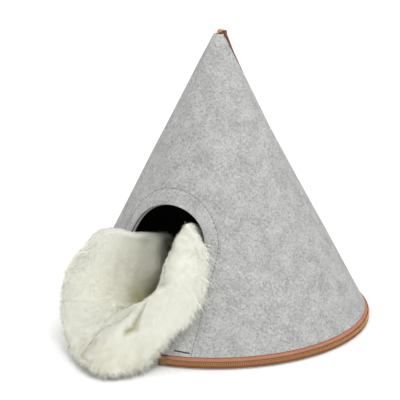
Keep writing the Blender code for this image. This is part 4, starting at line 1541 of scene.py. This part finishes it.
def smoothed(values, ends, passes, share=0.5):
    """Each vertex value moved towards the mean of its neighbours."""
    count = np.bincount(ends.ravel(), minlength=len(values))[:, None]
    for _ in range(passes):
        total = np.zeros_like(values)
        np.add.at(total, ends[:, 0], values[ends[:, 1]])
        np.add.at(total, ends[:, 1], values[ends[:, 0]])
        values = values + share * (total / count - values)
    return values


def lock_places():
    """Where the solid's locks stand, round the mat's free edge."""
    places = []
    for name in LOCKS:
        locks = copy_of_node(name, "locks_copy")
        places.append(places_of(locks.data))
        bpy.data.objects.remove(locks)
    return np.concatenate(places)


def nearest(points, targets):
    """For each point, its nearest target and the distance to it."""
    tree = search_tree(targets)
    found = [tree.find(p) for p in points]
    return np.array([f[1] for f in found]), np.array([f[2] for f in found])


def line_distance(places, line):
    """Each place's distance to a line through points given in mm."""
    best = np.full(len(places), np.inf)
    corners = np.array(line, float) * MM
    for a, b in zip(corners, corners[1:]):
        share = np.clip((places - a) @ (b - a) / ((b - a) @ (b - a)), 0, 1)
        best = np.minimum(best, np.linalg.norm(places - a - share[:, None] * (b - a), axis=1))
    return best


def near_line(places, line, reach):
    """How near each place is to a line: 1 on it, 0.37 at the reach, and less beyond."""
    return falloff(line_distance(places, line), reach)


def lowness(places):
    """How low each place is, from 0 on the mat's upper parts to 1 near the floor."""
    return smoothstep((LOW_FROM - places[:, 2]) / LOW_SPAN)


def folded(places, normals):
    """The body with its creases and ridges, set in by the pile's height to leave room for the wool."""
    move = np.full(len(places), -PILE_HEIGHT)
    near_edge = falloff(nearest(places, edge_places)[1], LOCK_REACH)
    move -= (EDGE_SET_IN + LOW_EDGE_SET_IN * lowness(places)) * near_edge
    for depth, reach, line in FOLDS:
        move += depth * MM * near_line(places, line, reach * MM)
    moved = places + normals * move[:, None]
    for amount, reach, way, line in PUSHES:
        moved += np.outer(near_line(places, line, reach * MM), way) * amount * MM
    return moved


edge_places = lock_places()
fleece_body = remesh(copy_of_node("fleece_mat", "fleece_body"), FLEECE_VOXEL)
body_edges = neighbours_of(fleece_body.data)
body_places = places_of(fleece_body.data)
# The folds move the surface off the drawn lines, so later cells measure distances to them here.
unfolded = smoothed(body_places, body_edges, BODY_PASSES)
body_places = folded(unfolded, unit(normals_of(fleece_body.data)))
fleece_body.data.vertices.foreach_set("co", body_places.astype(np.float32).ravel())
fleece_body.data.update()
print("fleece body: %d vertices, %d triangles" % (len(body_places), triangle_count(fleece_body)))

# %% [markdown]
# ## Which way the wool lies
# Pile lies over: on the mat's faces it leans towards the nearest edge and a little downhill, and at
# the edge it hangs off in pointed tufts. Each vertex of the body gets that direction, and the wool's
# length there. At the edge the directions aim at the tips of scattered tufts, so strands gather. In
# a fold the pile is pressed together, so the wool is shorter there.

# %% The wool's lie
FACE_WOOL = 5.5 * MM
EDGE_WOOL = 13.0 * MM
EDGE_REACH = 16 * MM
TUFT_STEP = 7.0 * MM
EDGE_FULL = 4 * MM
DOWNHILL = 0.55
LIE_PASSES = 30
TUFT_SEED, REACH_SEED = 4, 6
TUFTED_FROM = 0.25
TUFT_REACH = (0.9, 1.9)
TO_TUFT = 0.7
FACE_ALONG, FACE_OUT = 0.95, 0.28
HANG_ALONG, HANG_OUT, HANG_DOWN = 0.7, 0.5, -0.6
LIT_PASSES = 2
EDGE_LIFT = 0.6
LOW_EDGE_DROP = 1.3
LOW_EDGE_SHORTER = 0.6
SHORTENED = (
    # line, reach, and the share of its length that the wool loses on the line
    (DIMPLE, 7 * MM, 0.45),
    (CREASE, 5 * MM, 0.4),
    (HEM, 5 * MM, 0.6),
    (LOW_RIGHT, 22 * MM, 0.4),
)


def tangent(vectors, normals):
    return vectors - normals * np.sum(vectors * normals, axis=1, keepdims=True)


def scattered(places, wanted, step, seed):
    """A seeded choice among the wanted places, one in each cell of a grid a step wide."""
    order = np.random.default_rng(seed).permutation(np.flatnonzero(wanted))
    chosen, cells = [], set()
    for i in order:
        cell = tuple((places[i] / step).round().astype(int))
        if cell not in cells:
            cells.add(cell)
            chosen.append(i)
    return np.array(chosen)


body_places = places_of(fleece_body.data)
body_normals = unit(smoothed(normals_of(fleece_body.data), body_edges, BODY_PASSES))
to_edge, edge_distance = nearest(body_places, edge_places)
edge_share = falloff(np.maximum(edge_distance - EDGE_FULL, 0), EDGE_REACH)
lie = unit(edge_places[to_edge] - body_places) + DOWNHILL * np.array([0, 0, -1.0])
lie = unit(tangent(smoothed(unit(lie), body_edges, LIE_PASSES), body_normals))
hang = unit(lie * HANG_ALONG + body_normals * HANG_OUT + np.array([0, 0, HANG_DOWN]))
tufts = scattered(body_places, edge_share > TUFTED_FROM, TUFT_STEP, TUFT_SEED)
reaches = np.random.default_rng(REACH_SEED).uniform(*TUFT_REACH, (len(tufts), 1)) * EDGE_WOOL
tuft_tips = body_places[tufts] + hang[tufts] * reaches
nearest_tuft, _ = nearest(body_places, body_places[tufts])
to_tip = unit(tuft_tips[nearest_tuft] - body_places)
faced = unit(lie * FACE_ALONG + body_normals * FACE_OUT)
gathered = unit(to_tip * TO_TUFT + hang)
comb = unit(faced * (1 - edge_share[:, None]) + gathered * edge_share[:, None])
low_edge = lowness(body_places)
lift = EDGE_LIFT * edge_share * (1 - LOW_EDGE_DROP * low_edge)
lit_normals = unit(smoothed(normals_of(fleece_body.data), body_edges, LIT_PASSES))
lit_normals = unit(lit_normals + np.outer(lift, (0, 0, 1.0)))
length = FACE_WOOL + (EDGE_WOOL - FACE_WOOL) * edge_share * (1 - LOW_EDGE_SHORTER * low_edge)
for line, reach, share in SHORTENED:
    length *= 1 - share * near_line(unfolded, line, reach)
shortest, longest = length.min() / MM, length.max() / MM
print("%d tufts round the edge, wool %.0f to %.0f mm long" % (len(tufts), shortest, longest))

# %% [markdown]
# ## Growing the wool
# The tree scatters seeded points over the body's faces, sets one bent, tapering strand of three
# triangles on each, and turns it to the direction stored there. A strand that narrow would shade as
# noise, so each keeps the body's normal under it, tilted up at the free edge and down near the
# floor: the pile then shades as one soft surface, and only its tips break the outline.

# %% The wool tree
TWIST_SEED = 5
LENGTH_SEED = 9


def strand_mesh(name, width):
    """A strand along Z, bowed towards X and tapering to a point, 1 long, in three triangles."""
    mesh = bpy.data.meshes.new(name)
    steps = ((0.0, 0.0, 1.0), (0.5, 0.09, 0.8))
    points = [(x, side * w * width / 2, z) for z, x, w in steps for side in (-1, 1)] + [(0.02, 0, 1.0)]
    mesh.from_pydata(points, [], [(0, 1, 3, 2), (2, 3, 4)])
    return in_scene(name, mesh)


def wool_tree():
    tree, given, result = group_tree(
        "Wool on a body",
        "GeometryNodeTree",
        [
            ("Body", "Geometry", None),
            ("Strand", "Object", None),
            ("Strands per square metre", "Float", 200000.0),
            ("Uneven length", "Float", 0.35),
            ("Twist", "Float", 0.7),
            ("Stray", "Float", 0.25),
            ("Seed", "Int", 1),
            ("Finish", "Material", None),
        ],
        [("Wool", "Geometry")],
    )

    def read(name, kind):
        named = node(tree, "GeometryNodeInputNamedAttribute", {"Name": name}, data_type=kind)
        return named.outputs["Attribute"]

    density = maths(tree, "MULTIPLY", given["Strands per square metre"], read("thick", "FLOAT"))
    sockets = {"Mesh": given["Body"], "Density": density, "Seed": given["Seed"]}
    points = node(tree, "GeometryNodeDistributePointsOnFaces", sockets, distribute_method="RANDOM")
    sockets = {0: (-1, -1, -1), 1: (1, 1, 1), "Seed": given["Seed"]}
    stray = node(tree, "FunctionNodeRandomValue", sockets, data_type="FLOAT_VECTOR")
    sockets = {0: stray.outputs[0], "Scale": given["Stray"]}
    strayed = node(tree, "ShaderNodeVectorMath", sockets, operation="SCALE")
    way = node(tree, "ShaderNodeVectorMath", {0: read("comb", "FLOAT_VECTOR"), 1: strayed.outputs[0]})
    axes = {"Primary Axis": way.outputs[0], "Secondary Axis": read("surface", "FLOAT_VECTOR")}
    turn = node(tree, "FunctionNodeAxesToRotation", axes, primary_axis="Z", secondary_axis="X")
    least = maths(tree, "MULTIPLY", given["Twist"], -1.0)
    sockets = {2: least, 3: given["Twist"], "Seed": TWIST_SEED}
    twist = node(tree, "FunctionNodeRandomValue", sockets, data_type="FLOAT")
    about = node(tree, "ShaderNodeCombineXYZ", {2: twist.outputs[1]})
    sockets = {0: turn.outputs[0], 1: about.outputs[0]}
    turned = node(tree, "FunctionNodeRotateRotation", sockets, rotation_space="LOCAL")
    low = maths(tree, "SUBTRACT", 1.0, given["Uneven length"])
    high = maths(tree, "ADD", 1.0, given["Uneven length"])
    sockets = {2: low, 3: high, "Seed": LENGTH_SEED}
    spread = node(tree, "FunctionNodeRandomValue", sockets, data_type="FLOAT")
    tall = maths(tree, "MULTIPLY", read("length", "FLOAT"), spread.outputs[1])
    size = node(tree, "ShaderNodeCombineXYZ", {0: tall, 1: 1.0, 2: tall})
    strand = node(tree, "GeometryNodeObjectInfo", {"Object": given["Strand"]}).outputs["Geometry"]
    sockets = {
        "Points": points.outputs["Points"],
        "Instance": strand,
        "Rotation": turned.outputs[0],
        "Scale": size.outputs[0],
    }
    placed = node(tree, "GeometryNodeInstanceOnPoints", sockets)
    real = node(tree, "GeometryNodeRealizeInstances", {"Geometry": placed.outputs[0]})
    made = node(tree, "GeometryNodeSetMaterial", {"Geometry": real.outputs[0], "Material": given["Finish"]})
    tree.links.new(made.outputs[0], result.inputs["Wool"])
    return tree


WOOL = wool_tree()
strand = strand_mesh("one_strand", 0.75 * MM)
fine_strand = strand_mesh("fine_strand", 0.4 * MM)
print("one strand has %d triangles" % triangle_count(strand))

# %% [markdown]
# ## The wool's colour
# Cream wool is nearly white at its tips. The body under the strands is a little darker, as painted
# shade between the strands. The fibre group mottles it a little. A deep yellow colour is painted as
# shade along the valley, the crease, the dimple and the hem, and the same colour lies in faint
# seeded blotches low in front.

# %% The wool's finish and its pieces
WOOL_SIZES = (0.03, 0.008, 0.004)
# Painted shade: the deep yellow colour stands for the shade in the wool's valley and creases, and also tints
# faint blotches low in front.
PAINTED_SHADE_WOOL = (0.46, 0.43, 0.20)
VALLEY = ((-47, -98, 64), (-45, -114, 59), (-42, -135, 60), (-35, -168, 64))
CREASE_SHADES = (
    # line, share of the painted shade colour on the line, and reach
    (DIMPLE, 0.65, 6.5 * MM),
    (CREASE, 0.35, 5 * MM),
    (HEM, 0.3, 2.5 * MM),
)
BLOTCH_SEED = 12
BLOTCH_PASSES = 14
BLOTCH_SPREAD = 0.4
BLOTCH_MOST = 2.4
BLOTCH_SHARE = 0.2
BLOTCH_LEFT, BLOTCH_FADE = 75 * MM, 45 * MM
WIDE_SHADE, WIDE_REACH = 0.25, 80 * MM
NARROW_SHADE, NARROW_REACH = 0.65, 20 * MM
# Painted shade along the valley, wide and narrow, and in the crease, the dimple and the hem; the faint
# blotches low in front take the same colour.
wool_shade_and_blotches = WIDE_SHADE * near_line(body_places, VALLEY, WIDE_REACH)
wool_shade_and_blotches += NARROW_SHADE * near_line(body_places, VALLEY, NARROW_REACH)
for line, share, reach in CREASE_SHADES:
    wool_shade_and_blotches = np.maximum(wool_shade_and_blotches, share * near_line(unfolded, line, reach))
blotches = np.random.default_rng(BLOTCH_SEED).normal(0, 1, (len(body_places), 1))
blotches = smoothed(blotches, body_edges, BLOTCH_PASSES)[:, 0]
blotches = 1 + BLOTCH_SPREAD * blotches / blotches.std()
low_front = low_edge * smoothstep((body_places[:, 0] + BLOTCH_LEFT) / BLOTCH_FADE)
wool_shade_and_blotches = np.maximum(wool_shade_and_blotches, BLOTCH_SHARE * low_front * np.clip(blotches, 0, BLOTCH_MOST))


def wool_finish(name, dark, light, bump):
    return cloth_material(name, dark, light, WOOL_SIZES, 0.1, bump, place="Object", inside=PAINTED_SHADE_WOOL)


# The body under the strands is a little darker than the tips: painted shade between the strands.
wool_under = wool_finish("wool_under", (0.75, 0.75, 0.665), (0.81, 0.81, 0.74), 0.0003)
wool_tips = wool_finish("wool_tips", (0.78, 0.78, 0.695), (0.845, 0.845, 0.775), 0.0001)
store(fleece_body.data, "inside", wool_shade_and_blotches)
fleece_body.data.materials.clear()
fleece_body.data.materials.append(wool_under)
print("deep colour: %.2f at most, %.2f on the whole" % (wool_shade_and_blotches.max(), wool_shade_and_blotches.mean()))

# %% [markdown]
# ## The wool's pieces
# The wool is grown in four parts, and a fifth of longer, finer wisps at the free edge, so that no
# piece has too many triangles. Where the mat lies hidden in the cave it is thin. Strands that hang
# down to the floor are lifted onto it.

# %% The wool's pieces
STRAND_POINTS = 5
STRANDS = 620000.0
WISPS = 300000.0
WOOL_SEED, WISP_SEED, FLOOR_SEED = 20, 31, 8
ON_FLOOR = (0.4, 2.4)
UNDERSIDE_SHARE = 0.2
CAVE_THINNER = 0.65
LEFT_WISPS = 0.35
FRONT_FROM, CAVE_FROM = -235 * MM, -150 * MM


def rest_on_floor(mesh):
    """Strands that hang to the floor lie on it, each at a slightly different height."""
    places = places_of(mesh).reshape(-1, STRAND_POINTS, 3)
    least = np.random.default_rng(FLOOR_SEED).uniform(*ON_FLOOR, len(places)) * MM
    places[:, :, 2] = np.maximum(places[:, :, 2], least[:, None])
    mesh.vertices.foreach_set("co", places.astype(np.float32).ravel())


def grow(name, share, density, seed, blade, longer=1.0, stray=0.25):
    """Wool over part of the body. share is how thick it stands at each vertex, from 0 to 1."""
    piece = in_scene(name, fleece_body.data.copy())
    for label, values, kind in (
        ("comb", comb, "FLOAT_VECTOR"),
        ("surface", lit_normals, "FLOAT_VECTOR"),
        ("length", length * longer, "FLOAT"),
        ("thick", share, "FLOAT"),
    ):
        store(piece.data, label, values, kind)
    values = {"Strand": blade, "Strands per square metre": density, "Stray": stray}
    run_tree(piece, WOOL, values | {"Seed": seed, "Finish": wool_tips})
    rest_on_floor(piece.data)
    lit = unit(vectors_of(piece.data.attributes["surface"].data, "vector"))
    piece.data.shade_smooth()
    piece.data.normals_split_custom_set_from_vertices(lit.tolist())
    return piece


facing_up = smoothstep((body_normals[:, 2] + 0.35) / 0.5)
thick = UNDERSIDE_SHARE + (1 - UNDERSIDE_SHARE) * np.maximum(facing_up, edge_share)
thick *= 1 - CAVE_THINNER * smoothstep((body_places[:, 1] + 130 * MM) / (60 * MM))
in_front = body_places[:, 1] < FRONT_FROM
to_right = body_places[:, 0] > 0
in_cave = body_places[:, 1] > CAVE_FROM
areas = {
    "wool_front_left": in_front & ~to_right,
    "wool_front_right": in_front & to_right,
    "wool_middle": ~in_front & ~in_cave,
    "wool_inside": in_cave,
}
*front_wool, wool_inside = [
    grow(name, thick * area, STRANDS, WOOL_SEED + i, strand) for i, (name, area) in enumerate(areas.items())
]
wisps = edge_share**2 * ~in_cave * (LEFT_WISPS + (1 - LEFT_WISPS) * to_right)
front_wool.append(grow("wool_wisps", wisps, WISPS, WISP_SEED, fine_strand, longer=2.0, stray=0.45))
wool = [*front_wool, wool_inside]
bpy.data.objects.remove(strand)
bpy.data.objects.remove(fine_strand)
for piece in wool:
    print("%s: %d triangles" % (piece.name, triangle_count(piece)))

# %% [markdown]
# ## Attaching the pieces
# Each piece is attached to the root body, and the solid nodes that it stands for are hidden.

# %% Attaching the pieces


for piece, slot, nodes in (
    (felt_wall, "felt", ["cone_wall"]),
    (felt_facing, "felt", ["door_facing"]),
    (felt_floor, "felt", ["floor_disc"]),
    (fleece_body, "fleece", ["fleece_mat"]),
    (zip_upper, "zip_tape", ["zip_tape_upper"]),
    (zip_lower, "zip_tape", ["zip_tape_lower"]),
    (zip_coil, "zip_teeth", ["zip_teeth"]),
    (zip_thread, "zip_tape", []),
    (felt_thread, "felt", []),
    (strap, "strap_leather", ["tip_loop"]),
    (strap_thread, "strap_leather", []),
    (slider, "slider_metal", ["zip_slider"]),
    (pull, "slider_metal", ["zip_pull"]),
    *((piece, "fleece", LOCKS) for piece in front_wool),
    (wool_inside, "fleece", []),
):
    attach(piece, "root")
    if nodes:
        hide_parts(*nodes)
